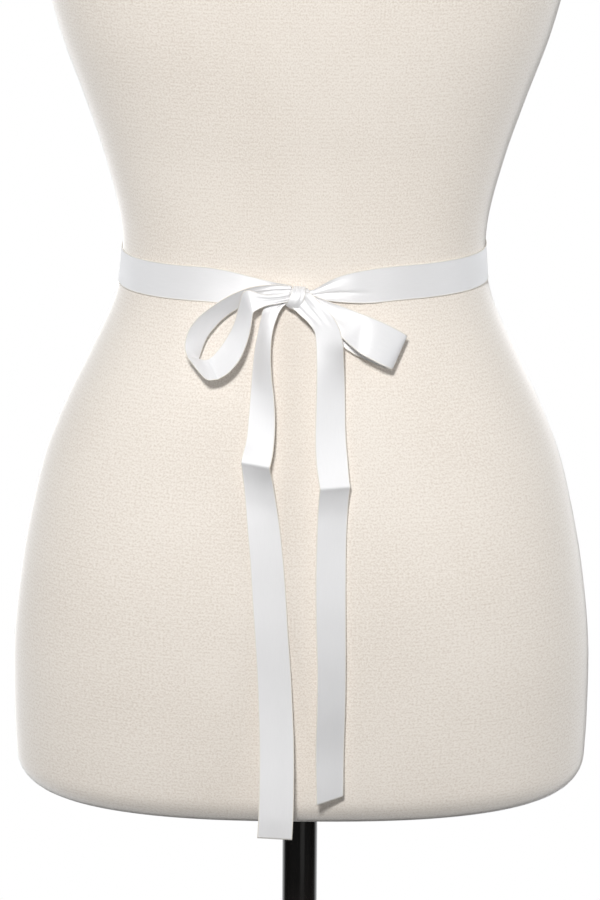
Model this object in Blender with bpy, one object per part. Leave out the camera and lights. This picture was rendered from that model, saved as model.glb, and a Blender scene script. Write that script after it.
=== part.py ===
"""A rhinestone bridal belt: a satin ribbon tied in a bow behind a limbless dress form on a pole stand.

Metres, +Z up. The origin is the middle of the stand's base, on the floor. The back of the form, with the
bow, faces -Y. The front, with the rhinestones, faces +Y. Left and right are those of someone who looks at
the bow, so left is -X. The tables are in millimetres, and their heights are measured from the waist.
"""

import math
from collections import namedtuple

import bmesh
import bpy
from mathutils import Matrix, Vector

MM = 0.001

# Driving dimensions of the belt
RIBBON_WIDTH = 22 * MM
CLOTH_WALL = 1.0 * MM
SEAM_GAP = 0.3 * MM
RIBBON_OUT = 1.0 * MM  # from the form to the middle of the ribbon's wall
RIBBON_TILT = 0.0153  # how much higher the waist ribbon lies for each metre to the right
CELLS_ACROSS = 4

# The rung tables below are drawn as the bow is seen from behind, in a view that leans a little. There the
# form's middle line is this far right of the tables' zero at this height, and leans right by this much.
VIEW_ASIDE = 1.7 * MM
VIEW_LEVEL = -130 * MM
VIEW_LEAN = 0.0070

# Driving dimensions of the stand
WAIST_HEIGHT = 1050 * MM
POLE_RADIUS = 11.6 * MM
BASE_RADIUS = 200 * MM
BASE_THICKNESS = 12 * MM
BASE_EDGE = 3 * MM
COLLAR_RADIUS = 29 * MM
COLLAR_HEIGHT = 26 * MM
COLLAR_EDGE = 2.5 * MM
STAND_SEGMENTS = 64

# Driving dimensions of the dress form
FORM_BOTTOM = -348 * MM
FORM_BOTTOM_ROUND = 20 * MM
FORM_TOP = 470 * MM
FORM_TOP_ROUND = 5 * MM  # the last of the stretches below ends this much lower
FORM_SEGMENTS = 44
BUST_HEIGHT = 170 * MM
BUST_ASIDE = 72 * MM
BUST_DEPTH = 24 * MM
BUST_SPREAD = 54 * MM

# Driving dimensions of the knot
KNOT_X = -0.5 * MM
KNOT_HEIGHT = -5.0 * MM
KNOT_HALF_WIDTH = 7.8 * MM
KNOT_HALF_HEIGHT = 6.4 * MM
KNOT_HALF_DEPTH = 6.0 * MM
KNOT_BACK_OUT = 0.5 * MM  # from the form to the knot's back
KNOT_SQUARENESS = 2.7
KNOT_PLEATS = 4
KNOT_PLEAT_DEPTH = 0.09  # a share of the knot's own thickness

# Driving dimensions of the rhinestone band
STONE_COUNT = 23
STONE_PITCH = 11.5 * MM
STONE_RADIUS = 5.0 * MM
STONE_TOP_RADIUS = 2.9 * MM
STONE_HEIGHT = 3.6 * MM
STONE_SINK = 0.5 * MM
STONE_SIDES = 8
BAND_HALF_HEIGHT = 10 * MM
BAND_WALL = 1.2 * MM
RAIL_HEIGHT = 7.6 * MM
RAIL_HALF_WIDTH = 1.9 * MM
RAIL_RISE = 1.7 * MM
BAND_STEP = 8.8 * MM

# Half width, depth to the back, depth to the front, and how square the outline is, ring by ring
FormRing = namedtuple("FormRing", "height half_width back front squareness")
FORM_RINGS = [
    FormRing(-348, 186.0, 113.0, 103.0, 2.30),
    FormRing(-330, 187.0, 117.0, 105.0, 2.30),
    FormRing(-300, 188.3, 120.5, 107.0, 2.32),
    FormRing(-250, 188.0, 123.5, 110.0, 2.35),
    FormRing(-200, 182.5, 124.0, 112.0, 2.35),
    FormRing(-160, 175.0, 120.0, 112.0, 2.35),
    FormRing(-125, 166.0, 113.5, 110.5, 2.35),
    FormRing(-93, 153.0, 106.0, 108.0, 2.40),
    FormRing(-60, 137.0, 97.0, 103.0, 2.45),
    FormRing(-27, 122.4, 89.0, 97.0, 2.50),
    FormRing(0, 116.6, 86.0, 94.0, 2.50),
    FormRing(30, 117.8, 86.5, 94.0, 2.50),
    FormRing(70, 127.8, 90.0, 97.0, 2.45),
    FormRing(103, 138.9, 95.0, 101.0, 2.40),
    FormRing(151, 156.0, 102.0, 106.0, 2.40),
    FormRing(200, 167.5, 107.0, 105.0, 2.40),
    FormRing(240, 170.0, 110.0, 101.0, 2.40),
    FormRing(280, 171.0, 110.0, 94.0, 2.40),
    FormRing(310, 173.0, 107.0, 85.0, 2.40),
    FormRing(332, 172.0, 101.0, 75.0, 2.35),
    FormRing(350, 160.0, 93.0, 66.0, 2.25),
    FormRing(366, 136.0, 84.0, 60.0, 2.15),
    FormRing(382, 108.0, 75.0, 55.0, 2.10),
    FormRing(398, 80.0, 67.0, 52.0, 2.05),
    FormRing(412, 64.0, 62.0, 51.0, 2.00),
    FormRing(430, 56.0, 58.0, 52.0, 2.00),
    FormRing(450, 53.0, 56.0, 54.0, 2.00),
    FormRing(470, 52.0, 54.0, 55.0, 2.00),
]

# The form's stretches above its rounded bottom edge, with more rings at the waist and on the shoulders
FormStretch = namedtuple("FormStretch", "name top rings")
FORM_STRETCHES = [
    FormStretch("hips", -45, 14),
    FormStretch("waist", 45, 8),
    FormStretch("chest", 330, 14),
    FormStretch("shoulders", 410, 9),
    FormStretch("neck", 465, 3),
]

# One rung of a ribbon: where its two edges are, seen from behind, how far each stands out from the form,
# how far the ribbon's middle bulges, and how deep it is gathered
Rung = namedtuple("Rung", "x_a height_a out_a x_b height_b out_b bulge gather")

# The waist ribbon from the knot to the left, upper edge first
WAIST_LEFT = [
    Rung(-5.0, 0.8, 3.2, -5.0, -6.4, 3.0, 0.0, 0.5),
    Rung(-9.5, 1.6, 3.0, -9.5, -7.2, 2.6, 0.0, 0.5),
    Rung(-14.0, 2.4, 2.8, -15.0, -8.8, 2.2, 0.0, 0.5),
    Rung(-22.0, 4.0, 2.2, -23.0, -10.8, 1.8, 0.4, 0.3),
    Rung(-32.0, 6.2, 1.6, -33.0, -11.8, 1.4, 0.3, 0.0),
    Rung(-44.0, 8.8, 1.1, -44.0, -12.0, 1.1, 0.0, 0.0),
    Rung(-58.0, 10.4, 1.0, -58.0, -11.6, 1.0, 0.0, 0.0),
    Rung(-72.0, 10.4, 1.0, -72.0, -11.6, 1.0, 0.0, 0.0),
]

# The waist ribbon from the right back to the knot, upper edge first
WAIST_RIGHT = [
    Rung(72.0, 11.6, 1.0, 72.0, -10.4, 1.0, 0.0, 0.0),
    Rung(58.0, 11.2, 1.0, 58.0, -10.8, 1.0, 0.0, 0.0),
    Rung(44.0, 10.0, 1.2, 45.0, -11.4, 1.4, 0.0, 0.0),
    Rung(31.0, 8.0, 2.2, 33.0, -10.8, 2.2, 0.3, 0.2),
    Rung(21.0, 4.8, 2.4, 22.0, -9.8, 2.2, 0.4, 0.4),
    Rung(14.0, 1.2, 2.8, 15.5, -8.8, 2.4, 0.0, 0.5),
    Rung(9.0, -1.6, 3.0, 10.0, -8.0, 2.8, 0.0, 0.5),
    Rung(4.0, -2.6, 3.2, 5.0, -7.4, 3.0, 0.0, 0.5),
]

# The left loop from the knot, round its open end and back, the edge next to the form first
LOOP_LEFT = [
    Rung(-5.0, -5.0, 6.0, -5.0, 0.6, 7.0, 0.0, 0.3),
    Rung(-9.5, -5.6, 5.6, -9.5, 1.2, 7.2, 0.0, 0.3),
    Rung(-16.0, -6.2, 5.2, -15.5, 2.0, 8.0, 0.0, 0.3),
    Rung(-24.0, -7.8, 4.4, -23.0, 1.8, 9.4, 0.0, 0.2),
    Rung(-32.0, -11.0, 3.6, -32.2, 0.2, 11.6, 0.0, 0.0),
    Rung(-39.4, -14.4, 4.6, -43.0, -3.5, 15.4, 0.3, 0.0),
    Rung(-46.9, -19.3, 6.0, -54.0, -10.1, 19.4, 0.5, 0.0),
    Rung(-53.4, -26.0, 6.6, -63.5, -17.9, 20.8, 0.5, 0.0),
    Rung(-58.3, -32.9, 6.6, -69.8, -27.5, 21.0, 0.4, 0.0),
    Rung(-61.1, -39.7, 6.2, -71.4, -35.4, 20.8, 0.2, 0.0),
    Rung(-62.5, -44.1, 5.4, -70.7, -39.4, 20.4, 0.0, 0.0),
    Rung(-62.8, -45.8, 4.6, -69.6, -42.1, 20.2, 0.0, 0.0),
    Rung(-60.9, -45.8, 3.4, -64.1, -48.6, 20.4, 0.0, 0.0),
    Rung(-58.8, -45.3, 2.8, -56.9, -54.8, 20.6, 0.0, 0.0),
    Rung(-56.7, -44.4, 2.6, -50.4, -54.1, 20.4, 0.0, 0.0),
    Rung(-54.1, -42.2, 2.8, -45.7, -51.2, 20.0, 0.0, 0.0),
    Rung(-51.3, -39.5, 3.0, -41.1, -47.0, 19.6, 0.2, 0.0),
    Rung(-48.1, -36.1, 3.2, -36.5, -40.9, 19.2, 0.4, 0.0),
    Rung(-44.8, -31.1, 3.8, -33.6, -34.3, 18.8, 0.6, 0.0),
    Rung(-42.0, -25.7, 5.0, -31.6, -28.4, 18.2, 0.8, 0.0),
    Rung(-39.4, -18.0, 7.2, -30.1, -21.9, 17.2, 0.8, 0.0),
    Rung(-37.1, -8.5, 10.4, -29.4, -17.2, 16.0, 0.5, 0.0),
    Rung(-34.6, -1.9, 12.4, -29.0, -14.9, 15.4, 0.2, 0.0),
    Rung(-31.9, -0.9, 12.8, -28.4, -13.7, 15.2, 0.0, 0.0),
    Rung(-29.6, -1.2, 12.8, -27.0, -12.9, 14.7, 0.2, 0.0),
    Rung(-25.4, -2.3, 12.6, -24.4, -11.5, 14.0, 0.6, 0.0),
    Rung(-17.0, -2.4, 11.5, -15.0, -8.6, 12.2, 0.6, 0.2),
    Rung(-9.5, -2.4, 10.6, -9.5, -7.4, 10.8, 0.4, 0.3),
    Rung(-5.0, -2.4, 10.0, -5.0, -7.0, 10.0, 0.0, 0.3),
]

# The right loop from the knot, along its back, round its end and back along its front, upper edge first
LOOP_RIGHT = [
    Rung(4.0, -4.0, 6.0, 1.5, -8.0, 6.0, 0.0, 0.3),
    Rung(8.4, -5.6, 6.2, 4.5, -10.6, 5.6, 0.0, 0.3),
    Rung(15.0, -8.6, 6.0, 8.4, -18.0, 5.2, 0.0, 0.3),
    Rung(25.0, -12.6, 5.2, 16.5, -27.5, 4.6, 0.0, 0.2),
    Rung(37.0, -17.8, 5.0, 27.2, -37.4, 4.6, 0.0, 0.0),
    Rung(50.0, -25.2, 6.5, 40.2, -44.8, 6.0, 0.0, 0.0),
    Rung(60.0, -29.6, 8.5, 50.4, -49.0, 8.0, 0.0, 0.0),
    Rung(65.2, -30.9, 10.2, 55.6, -50.6, 9.6, 0.0, 0.0),
    Rung(66.8, -30.3, 12.4, 57.4, -50.2, 12.4, 0.0, 0.0),
    Rung(66.3, -29.0, 14.2, 57.0, -49.0, 15.6, 0.0, 0.0),
    Rung(64.4, -27.6, 15.0, 55.0, -47.8, 17.8, 0.0, 0.0),
    Rung(54.0, -21.4, 15.6, 45.0, -42.2, 19.3, 0.2, 0.0),
    Rung(44.6, -17.0, 16.0, 36.2, -37.3, 18.5, 0.1, 0.0),
    Rung(42.4, -16.0, 16.3, 34.0, -35.6, 17.2, 0.0, 0.0),
    Rung(40.0, -15.2, 15.8, 31.4, -34.0, 14.8, 0.0, 0.0),
    Rung(28.6, -11.2, 12.2, 21.5, -25.6, 10.8, 0.0, 0.1),
    Rung(18.0, -8.0, 9.8, 12.5, -17.5, 9.4, 0.0, 0.3),
    Rung(9.5, -4.8, 8.8, 5.5, -11.2, 8.8, 0.0, 0.3),
    Rung(4.0, -3.5, 8.4, 1.5, -8.0, 8.4, 0.0, 0.3),
]

# The left tail from the knot down to its square end, left edge first
TAIL_LEFT = [
    Rung(-6.5, -5.5, 7.2, -1.0, -7.2, 7.4, 0.0, 0.4),
    Rung(-8.4, -8.8, 7.4, -0.8, -10.4, 7.6, 0.0, 0.4),
    Rung(-16.5, -11.0, 8.0, -4.5, -11.6, 8.4, 0.0, 0.4),
    Rung(-22.6, -13.6, 8.4, -9.6, -14.2, 9.6, 0.8, 0.2),
    Rung(-24.0, -19.2, 8.0, -14.4, -19.4, 11.0, 1.0, 0.0),
    Rung(-26.0, -28.4, 7.0, -17.2, -29.4, 12.0, 0.8, 0.0),
    Rung(-28.0, -38.8, 5.2, -17.9, -40.8, 12.2, 0.4, 0.0),
    Rung(-29.4, -51.2, 3.8, -17.4, -52.8, 11.8, 0.0, 0.0),
    Rung(-30.6, -65.4, 3.2, -15.9, -66.6, 11.4, 0.0, 0.0),
    Rung(-31.8, -79.6, 3.4, -15.2, -80.4, 11.0, 0.0, 0.0),
    Rung(-33.2, -92.9, 4.8, -15.8, -93.2, 12.0, 0.0, 0.0),
    Rung(-36.0, -103.6, 9.0, -17.8, -105.4, 14.4, 0.0, 0.0),
    Rung(-36.4, -105.6, 9.6, -18.4, -107.6, 14.8, 0.0, 0.0),
    Rung(-36.2, -107.6, 8.8, -18.2, -109.6, 13.4, 0.0, 0.0),
    Rung(-35.2, -117.0, 5.8, -16.6, -118.0, 8.4, 0.0, 0.0),
    Rung(-34.0, -130.0, 3.4, -14.6, -131.0, 4.6, 0.0, 0.0),
    Rung(-32.8, -147.0, 2.2, -12.2, -148.0, 2.4, 0.0, 0.0),
    Rung(-31.2, -166.0, 1.7, -10.2, -167.0, 1.7, 0.0, 0.0),
    Rung(-29.8, -190.0, 1.6, -8.5, -190.0, 1.6, 0.0, 0.0),
    Rung(-28.2, -215.0, 2.2, -7.0, -216.0, 2.2, 0.0, 0.0),
    Rung(-26.8, -240.0, 3.4, -5.4, -240.0, 3.4, 0.0, 0.0),
    Rung(-26.0, -262.0, 4.2, -4.4, -262.0, 4.2, 0.0, 0.0),
    Rung(-25.4, -285.0, 5.2, -3.6, -285.0, 5.2, 0.0, 0.0),
    Rung(-25.5, -310.0, 9.2, -3.6, -310.0, 9.2, 0.0, 0.0),
    Rung(-26.0, -330.0, 14.0, -4.0, -330.0, 14.0, 0.0, 0.0),
    Rung(-26.8, -345.0, 19.0, -4.8, -346.0, 19.4, 0.0, 0.0),
]

# The right tail from the knot down to its slanted end, left edge first
TAIL_RIGHT = [
    Rung(-4.0, -5.5, 9.5, 4.0, -2.0, 10.0, 0.0, 0.4),
    Rung(-5.4, -9.4, 11.0, 6.8, -2.4, 12.0, 0.0, 0.4),
    Rung(-1.2, -14.5, 13.0, 13.4, -8.8, 14.5, 0.0, 0.4),
    Rung(5.0, -20.0, 14.4, 20.0, -15.5, 15.6, 0.8, 0.3),
    Rung(9.0, -25.5, 14.6, 24.2, -22.8, 15.4, 0.8, 0.0),
    Rung(10.1, -33.0, 14.4, 26.8, -33.0, 14.6, 0.8, 0.0),
    Rung(10.4, -43.0, 13.8, 27.4, -43.0, 11.0, 0.5, 0.0),
    Rung(10.4, -57.0, 13.2, 28.0, -57.0, 6.8, 0.2, 0.0),
    Rung(10.0, -75.0, 12.6, 28.4, -75.0, 4.4, 0.0, 0.0),
    Rung(9.6, -90.0, 12.6, 28.7, -90.0, 4.0, 0.0, 0.0),
    Rung(10.3, -106.0, 13.8, 30.0, -106.0, 6.0, 0.0, 0.0),
    Rung(12.0, -117.5, 15.6, 31.1, -117.8, 9.0, 0.0, 0.0),
    Rung(12.4, -120.0, 16.2, 31.5, -120.4, 9.6, 0.0, 0.0),
    Rung(12.2, -122.6, 15.2, 31.1, -123.0, 8.4, 0.0, 0.0),
    Rung(11.2, -135.0, 11.8, 30.0, -136.0, 4.4, 0.0, 0.0),
    Rung(10.6, -150.0, 10.6, 29.2, -151.0, 3.2, 0.0, 0.0),
    Rung(10.0, -175.0, 10.4, 28.8, -176.0, 3.4, 0.0, 0.0),
    Rung(10.2, -207.0, 11.4, 28.8, -207.0, 4.8, 0.0, 0.0),
    Rung(10.9, -235.0, 12.6, 28.9, -235.0, 6.0, 0.0, 0.0),
    Rung(10.7, -262.0, 12.8, 28.6, -262.0, 6.2, 0.0, 0.0),
    Rung(10.0, -291.0, 12.0, 27.8, -292.0, 5.6, 0.0, 0.0),
    Rung(10.6, -325.0, 15.0, 27.5, -321.0, 8.4, 0.0, 0.0),
]

Section = namedtuple("Section", "edge_a edge_b bulge gather")


def clear_scene():
    for item in list(bpy.data.objects):
        bpy.data.objects.remove(item, do_unlink=True)


def finish(name, colour, roughness, metallic=0.0):
    """A Principled material."""
    material = bpy.data.materials.new(name)
    material.use_nodes = True
    shader = material.node_tree.nodes["Principled BSDF"]
    shader.inputs["Base Color"].default_value = (*colour, 1.0)
    shader.inputs["Roughness"].default_value = roughness
    shader.inputs["Metallic"].default_value = metallic
    return material


def add_object(name, mesh, material=None):
    """An object of this name from a bmesh, which it frees."""
    data = bpy.data.meshes.new(name)
    mesh.to_mesh(data)
    mesh.free()
    data.shade_smooth()
    data.set_sharp_from_angle(angle=math.radians(35))
    if material:
        data.materials.append(material)
    item = bpy.data.objects.new(name, data)
    bpy.context.scene.collection.objects.link(item)
    return item


def as_helper(item):
    """Keeps a cutter or a piece that a union takes in out of the part."""
    item.hide_render = True
    item.display_type = "WIRE"


def hermite(start, end, start_slope, end_slope, share):
    """The value at this share of the way from start to end, with slopes given per whole gap."""
    square = share * share
    cube = square * share
    return (
        (2 * cube - 3 * square + 1) * start
        + (cube - 2 * square + share) * start_slope
        + (3 * square - 2 * cube) * end
        + (cube - square) * end_slope
    )


def ring_slope(index, column):
    """How fast a column of the form's table changes at this row, per millimetre of height."""
    before = FORM_RINGS[max(index - 1, 0)]
    after = FORM_RINGS[min(index + 1, len(FORM_RINGS) - 1)]
    return (after[column] - before[column]) / (after.height - before.height)


def form_ring(height):
    """Half width, back depth and front depth in metres, and squareness, at a height above the waist."""
    level = min(max(height / MM, FORM_RINGS[0].height), FORM_RINGS[-1].height)
    index = 0
    while index < len(FORM_RINGS) - 2 and FORM_RINGS[index + 1].height < level:
        index += 1
    low = FORM_RINGS[index]
    high = FORM_RINGS[index + 1]
    gap = high.height - low.height
    share = (level - low.height) / gap
    values = []
    for column in range(1, len(low)):
        start_slope = ring_slope(index, column) * gap
        end_slope = ring_slope(index + 1, column) * gap
        values.append(hermite(low[column], high[column], start_slope, end_slope, share))
    half_width, back, front, squareness = values
    return half_width * MM, back * MM, front * MM, squareness


def bust_depth(x, height):
    """How far the bust stands out from the form's front here."""
    rise = ((height - BUST_HEIGHT) / BUST_SPREAD) ** 2
    left = math.exp(-(((x + BUST_ASIDE) / BUST_SPREAD) ** 2) - rise)
    right = math.exp(-(((x - BUST_ASIDE) / BUST_SPREAD) ** 2) - rise)
    return BUST_DEPTH * (left + right)


def form_point(angle, height, out=0.0, inset=0.0):
    """A point of the form at this angle around it, moved out along the surface's level normal."""
    half_width, back, front, squareness = form_ring(height)
    depth = front if math.sin(angle) > 0 else back
    across = abs(math.cos(angle) / half_width) ** squareness
    along = abs(math.sin(angle) / depth) ** squareness
    radius = (across + along) ** (-1 / squareness) - inset
    x = radius * math.cos(angle)
    y = radius * math.sin(angle)
    if y > 0:
        y += bust_depth(x, height) * min(1.0, y / front)
    normal = Vector((
        math.copysign(abs(x / half_width) ** (squareness - 1) / half_width, x),
        math.copysign(abs(y / depth) ** (squareness - 1) / depth, y),
        0.0,
    )).normalized()
    return Vector((x, y, WAIST_HEIGHT + height)) + normal * out


def back_point(x, height, out):
    """A point this far behind the form's back."""
    half_width, back, _, squareness = form_ring(height)
    depth = back * (1 - abs(x / half_width) ** squareness) ** (1 / squareness)
    return Vector((x, -depth - out, WAIST_HEIGHT + height))


def seen_point(x, height, out):
    """The point this far behind the form's back, at x and height in the tables' leaning view."""
    level_x = x - VIEW_ASIDE - VIEW_LEAN * (height - VIEW_LEVEL)
    level_height = height + VIEW_LEAN * x
    return back_point(level_x, level_height, out)


def grid_mesh(columns, rows, place):
    """A grid whose corners stand at place(along, across), which count from 0 to columns and to rows."""
    mesh = bmesh.new()
    bmesh.ops.create_grid(mesh, x_segments=columns, y_segments=rows, size=0.5)
    for corner in mesh.verts:
        along = round((corner.co.x + 0.5) * columns)
        across = round((corner.co.y + 0.5) * rows)
        corner.co = place(along, across)
    return mesh


def close_tube(mesh):
    """Joins a grid's first and last rows and fills its two open ends."""
    bmesh.ops.remove_doubles(mesh, verts=mesh.verts, dist=1e-6)
    open_edges = [edge for edge in mesh.edges if edge.is_boundary]
    bmesh.ops.holes_fill(mesh, edges=open_edges, sides=0)
    bmesh.ops.recalc_face_normals(mesh, faces=mesh.faces)


def turned_mesh(profile):
    """A solid turned round the Z axis from a closed list of (radius, height)."""
    mesh = bmesh.new()
    corners = [mesh.verts.new((radius, 0, height)) for radius, height in profile]
    edges = [mesh.edges.new((corners[i - 1], corners[i])) for i in range(len(corners))]
    bmesh.ops.spin(
        mesh,
        geom=corners + edges,
        cent=(0, 0, 0),
        axis=(0, 0, 1),
        angle=2 * math.pi,
        steps=STAND_SEGMENTS,
        use_merge=True,
    )
    bmesh.ops.remove_doubles(mesh, verts=mesh.verts, dist=1e-6)
    bmesh.ops.recalc_face_normals(mesh, faces=mesh.faces)
    return mesh


def form_levels():
    """(height, inset) of each ring of the form, from its rounded bottom edge to its flat neck end."""
    round_steps = 4
    levels = []
    for step in range(round_steps + 1):
        turn = math.pi / 2 * step / round_steps
        rise = FORM_BOTTOM_ROUND * (1 - math.cos(turn))
        levels.append((FORM_BOTTOM + rise, FORM_BOTTOM_ROUND * (1 - math.sin(turn))))
    for stretch in FORM_STRETCHES:
        start = levels[-1][0]
        for step in range(1, stretch.rings + 1):
            levels.append((start + (stretch.top * MM - start) * step / stretch.rings, 0.0))
    levels.append((FORM_TOP, FORM_TOP_ROUND))
    return levels


def make_dress_form(material):
    levels = form_levels()

    def place(along, across):
        height, inset = levels[across]
        angle = 2 * math.pi * (along % FORM_SEGMENTS) / FORM_SEGMENTS
        return form_point(angle, height, inset=inset)

    mesh = grid_mesh(FORM_SEGMENTS, len(levels) - 1, place)
    close_tube(mesh)
    add_object("dress_form", mesh, material)


def make_stand(material):
    edge = BASE_EDGE
    top = BASE_THICKNESS
    base = turned_mesh([
        (0, 0),
        (BASE_RADIUS - edge, 0),
        (BASE_RADIUS, edge),
        (BASE_RADIUS, top - edge),
        (BASE_RADIUS - edge, top),
        (0, top),
    ])
    add_object("stand_base", base, material)

    bore = POLE_RADIUS + SEAM_GAP
    foot = top + SEAM_GAP
    crown = foot + COLLAR_HEIGHT
    collar = turned_mesh([
        (bore, foot),
        (COLLAR_RADIUS, foot),
        (COLLAR_RADIUS, crown - COLLAR_EDGE),
        (COLLAR_RADIUS - COLLAR_EDGE, crown),
        (bore, crown),
    ])
    add_object("stand_collar", collar, material)

    pole_top = WAIST_HEIGHT + FORM_BOTTOM - SEAM_GAP
    pole = bmesh.new()
    middle = Matrix.Translation((0, 0, (foot + pole_top) / 2))
    bmesh.ops.create_cone(
        pole,
        cap_ends=True,
        segments=STAND_SEGMENTS // 2,
        radius1=POLE_RADIUS,
        radius2=POLE_RADIUS,
        depth=pole_top - foot,
        matrix=middle,
    )
    add_object("stand_pole", pole, material)


def rung_gap(low, high):
    """Length of the ribbon between two rungs, the mean of its two edges."""
    return (math.dist(low[0:3], high[0:3]) + math.dist(low[3:6], high[3:6])) / 2


def rung_slope(rungs, index, column):
    """How fast a value of the table changes at a rung, for a millimetre along the ribbon."""
    here = rungs[index]
    if index == 0:
        return (rungs[1][column] - here[column]) / rung_gap(here, rungs[1])
    before = rungs[index - 1]
    gap_before = rung_gap(before, here)
    slope_before = (here[column] - before[column]) / gap_before
    if index == len(rungs) - 1:
        return slope_before
    after = rungs[index + 1]
    gap_after = rung_gap(here, after)
    slope_after = (after[column] - here[column]) / gap_after
    return (slope_before * gap_after + slope_after * gap_before) / (gap_before + gap_after)


def table_sections(rungs, steps):
    """Sections of a ribbon on smooth curves through its rungs, with so many steps to each gap."""
    sections = []
    last = len(rungs) - 1
    for station in range(last * steps + 1):
        index = min(station // steps, last - 1)
        share = station / steps - index
        low = rungs[index]
        high = rungs[index + 1]
        gap = rung_gap(low, high)
        values = []
        for column in range(len(low)):
            start_slope = rung_slope(rungs, index, column) * gap
            end_slope = rung_slope(rungs, index + 1, column) * gap
            value = hermite(low[column], high[column], start_slope, end_slope, share)
            values.append(value * MM)
        x_a, height_a, out_a, x_b, height_b, out_b, bulge, gather = values
        edge_a = seen_point(x_a, height_a, out_a)
        edge_b = seen_point(x_b, height_b, out_b)
        sections.append(Section(edge_a, edge_b, bulge, gather))
    return sections


def ribbon_level(x):
    """Height of the waist ribbon's middle."""
    return RIBBON_TILT * x


def waist_edges(angle):
    """The waist ribbon's upper and lower edge at this angle round the form."""
    level = ribbon_level(form_point(angle, 0.0).x)
    upper = form_point(angle, level + RIBBON_WIDTH / 2, RIBBON_OUT)
    lower = form_point(angle, level - RIBBON_WIDTH / 2, RIBBON_OUT)
    return upper, lower


def on_waist_ribbon(angle, height, out):
    """A point this far above the waist ribbon's middle line and this far out from its wall's middle."""
    upper, lower = waist_edges(angle)
    normal = form_point(angle, 0.0, 1.0) - form_point(angle, 0.0)
    return (upper + lower) / 2 + (upper - lower).normalized() * height + normal * out


def rung_angle(rung):
    """Angle round the form of the upper edge of a rung of the waist ribbon."""
    point = seen_point(rung.x_a * MM, rung.height_a * MM, rung.out_a * MM)
    return math.atan2(point.y, point.x) % (2 * math.pi)


def waist_sections():
    """The waist ribbon from the knot round the left side, the front and the right side to the knot."""
    steps = 56
    left = table_sections(WAIST_LEFT, 2)
    right = table_sections(WAIST_RIGHT, 2)
    start = rung_angle(WAIST_LEFT[-1])
    end = rung_angle(WAIST_RIGHT[0]) - 2 * math.pi
    around = []
    for step in range(1, steps):
        upper, lower = waist_edges(start + (end - start) * step / steps)
        around.append(Section(upper, lower, 0.0, 0.0))
    return left + around + right


def make_ribbon(name, sections, material, knot_cutter):
    """One stretch of ribbon: a wall through its sections, cut off just short of the knot."""
    middles = [(section.edge_a + section.edge_b) / 2 for section in sections]
    last = len(sections) - 1

    def place(along, across):
        section = sections[along]
        share = across / CELLS_ACROSS
        tangent = middles[min(along + 1, last)] - middles[max(along - 1, 0)]
        normal = tangent.cross(section.edge_b - section.edge_a).normalized()
        bulge = section.bulge * 4 * share * (1 - share)
        gather = section.gather * math.cos(2 * math.pi * share)
        return section.edge_a.lerp(section.edge_b, share) + normal * (bulge + gather)

    ribbon = add_object(name, grid_mesh(last, CELLS_ACROSS, place), material)
    wall = ribbon.modifiers.new("Wall", "SOLIDIFY")
    wall.thickness = CLOTH_WALL
    wall.offset = 0.0
    trim = ribbon.modifiers.new("Trim at the knot", "BOOLEAN")
    trim.operation = "DIFFERENCE"
    trim.solver = "EXACT"
    trim.object = knot_cutter
    ribbon.modifiers.new("Even shading", "WEIGHTED_NORMAL")
    return ribbon


def knot_mesh(grow, pleat_depth):
    """The knot's rounded form, bigger all round by grow, with pleats that run up and over it."""
    mesh = bmesh.new()
    poles_aside = Matrix.Rotation(math.pi / 2, 4, "Y")
    bmesh.ops.create_uvsphere(mesh, u_segments=16, v_segments=24, radius=1.0, matrix=poles_aside)
    half_width = KNOT_HALF_WIDTH + grow
    half_height = KNOT_HALF_HEIGHT + grow
    half_depth = KNOT_HALF_DEPTH + grow
    middle = seen_point(KNOT_X, KNOT_HEIGHT, KNOT_BACK_OUT + KNOT_HALF_DEPTH)
    for corner in mesh.verts:
        along = corner.co.x
        ring = math.sqrt(max(0.0, 1 - along * along))
        girth = (1 - min(1.0, abs(along)) ** KNOT_SQUARENESS) ** (1 / KNOT_SQUARENESS)
        wave = math.cos(math.pi * KNOT_PLEATS * along)
        swell = girth * (1 - pleat_depth * (0.5 - 0.5 * wave))
        scale = swell / ring if ring > 1e-6 else 0.0
        corner.co = middle + Vector((
            half_width * along,
            half_depth * corner.co.y * scale,
            half_height * corner.co.z * scale,
        ))
    return mesh


def front_angles(arcs):
    """Angles of the points at these lengths along the waist, measured from the middle of the front."""
    step = math.radians(0.2)
    reach = max(arcs)
    angle = math.pi / 2
    lengths = [0.0]
    point = form_point(angle, 0.0, RIBBON_OUT)
    while lengths[-1] < reach:
        angle -= step
        following = form_point(angle, 0.0, RIBBON_OUT)
        lengths.append(lengths[-1] + (following - point).length)
        point = following
    angles = []
    for arc in arcs:
        index = 0
        while lengths[index] < abs(arc):
            index += 1
        angles.append(math.pi / 2 - math.copysign(step * index, arc))
    return angles


def band_profile():
    """(height, out) round the rhinestone band's section: a flat back, and a rail along each edge."""
    inner = CLOTH_WALL / 2 + SEAM_GAP
    face = inner + BAND_WALL
    rail = face + RAIL_RISE
    near = RAIL_HEIGHT - RAIL_HALF_WIDTH
    far = RAIL_HEIGHT + RAIL_HALF_WIDTH
    shoulder = RAIL_HALF_WIDTH / 2
    upper = [
        (near, face),
        (near + shoulder, rail),
        (far - shoulder, rail),
        (far, face),
        (BAND_HALF_HEIGHT, face),
        (BAND_HALF_HEIGHT, inner),
    ]
    lower = [(-height, out) for height, out in reversed(upper)]
    return upper + lower


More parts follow.
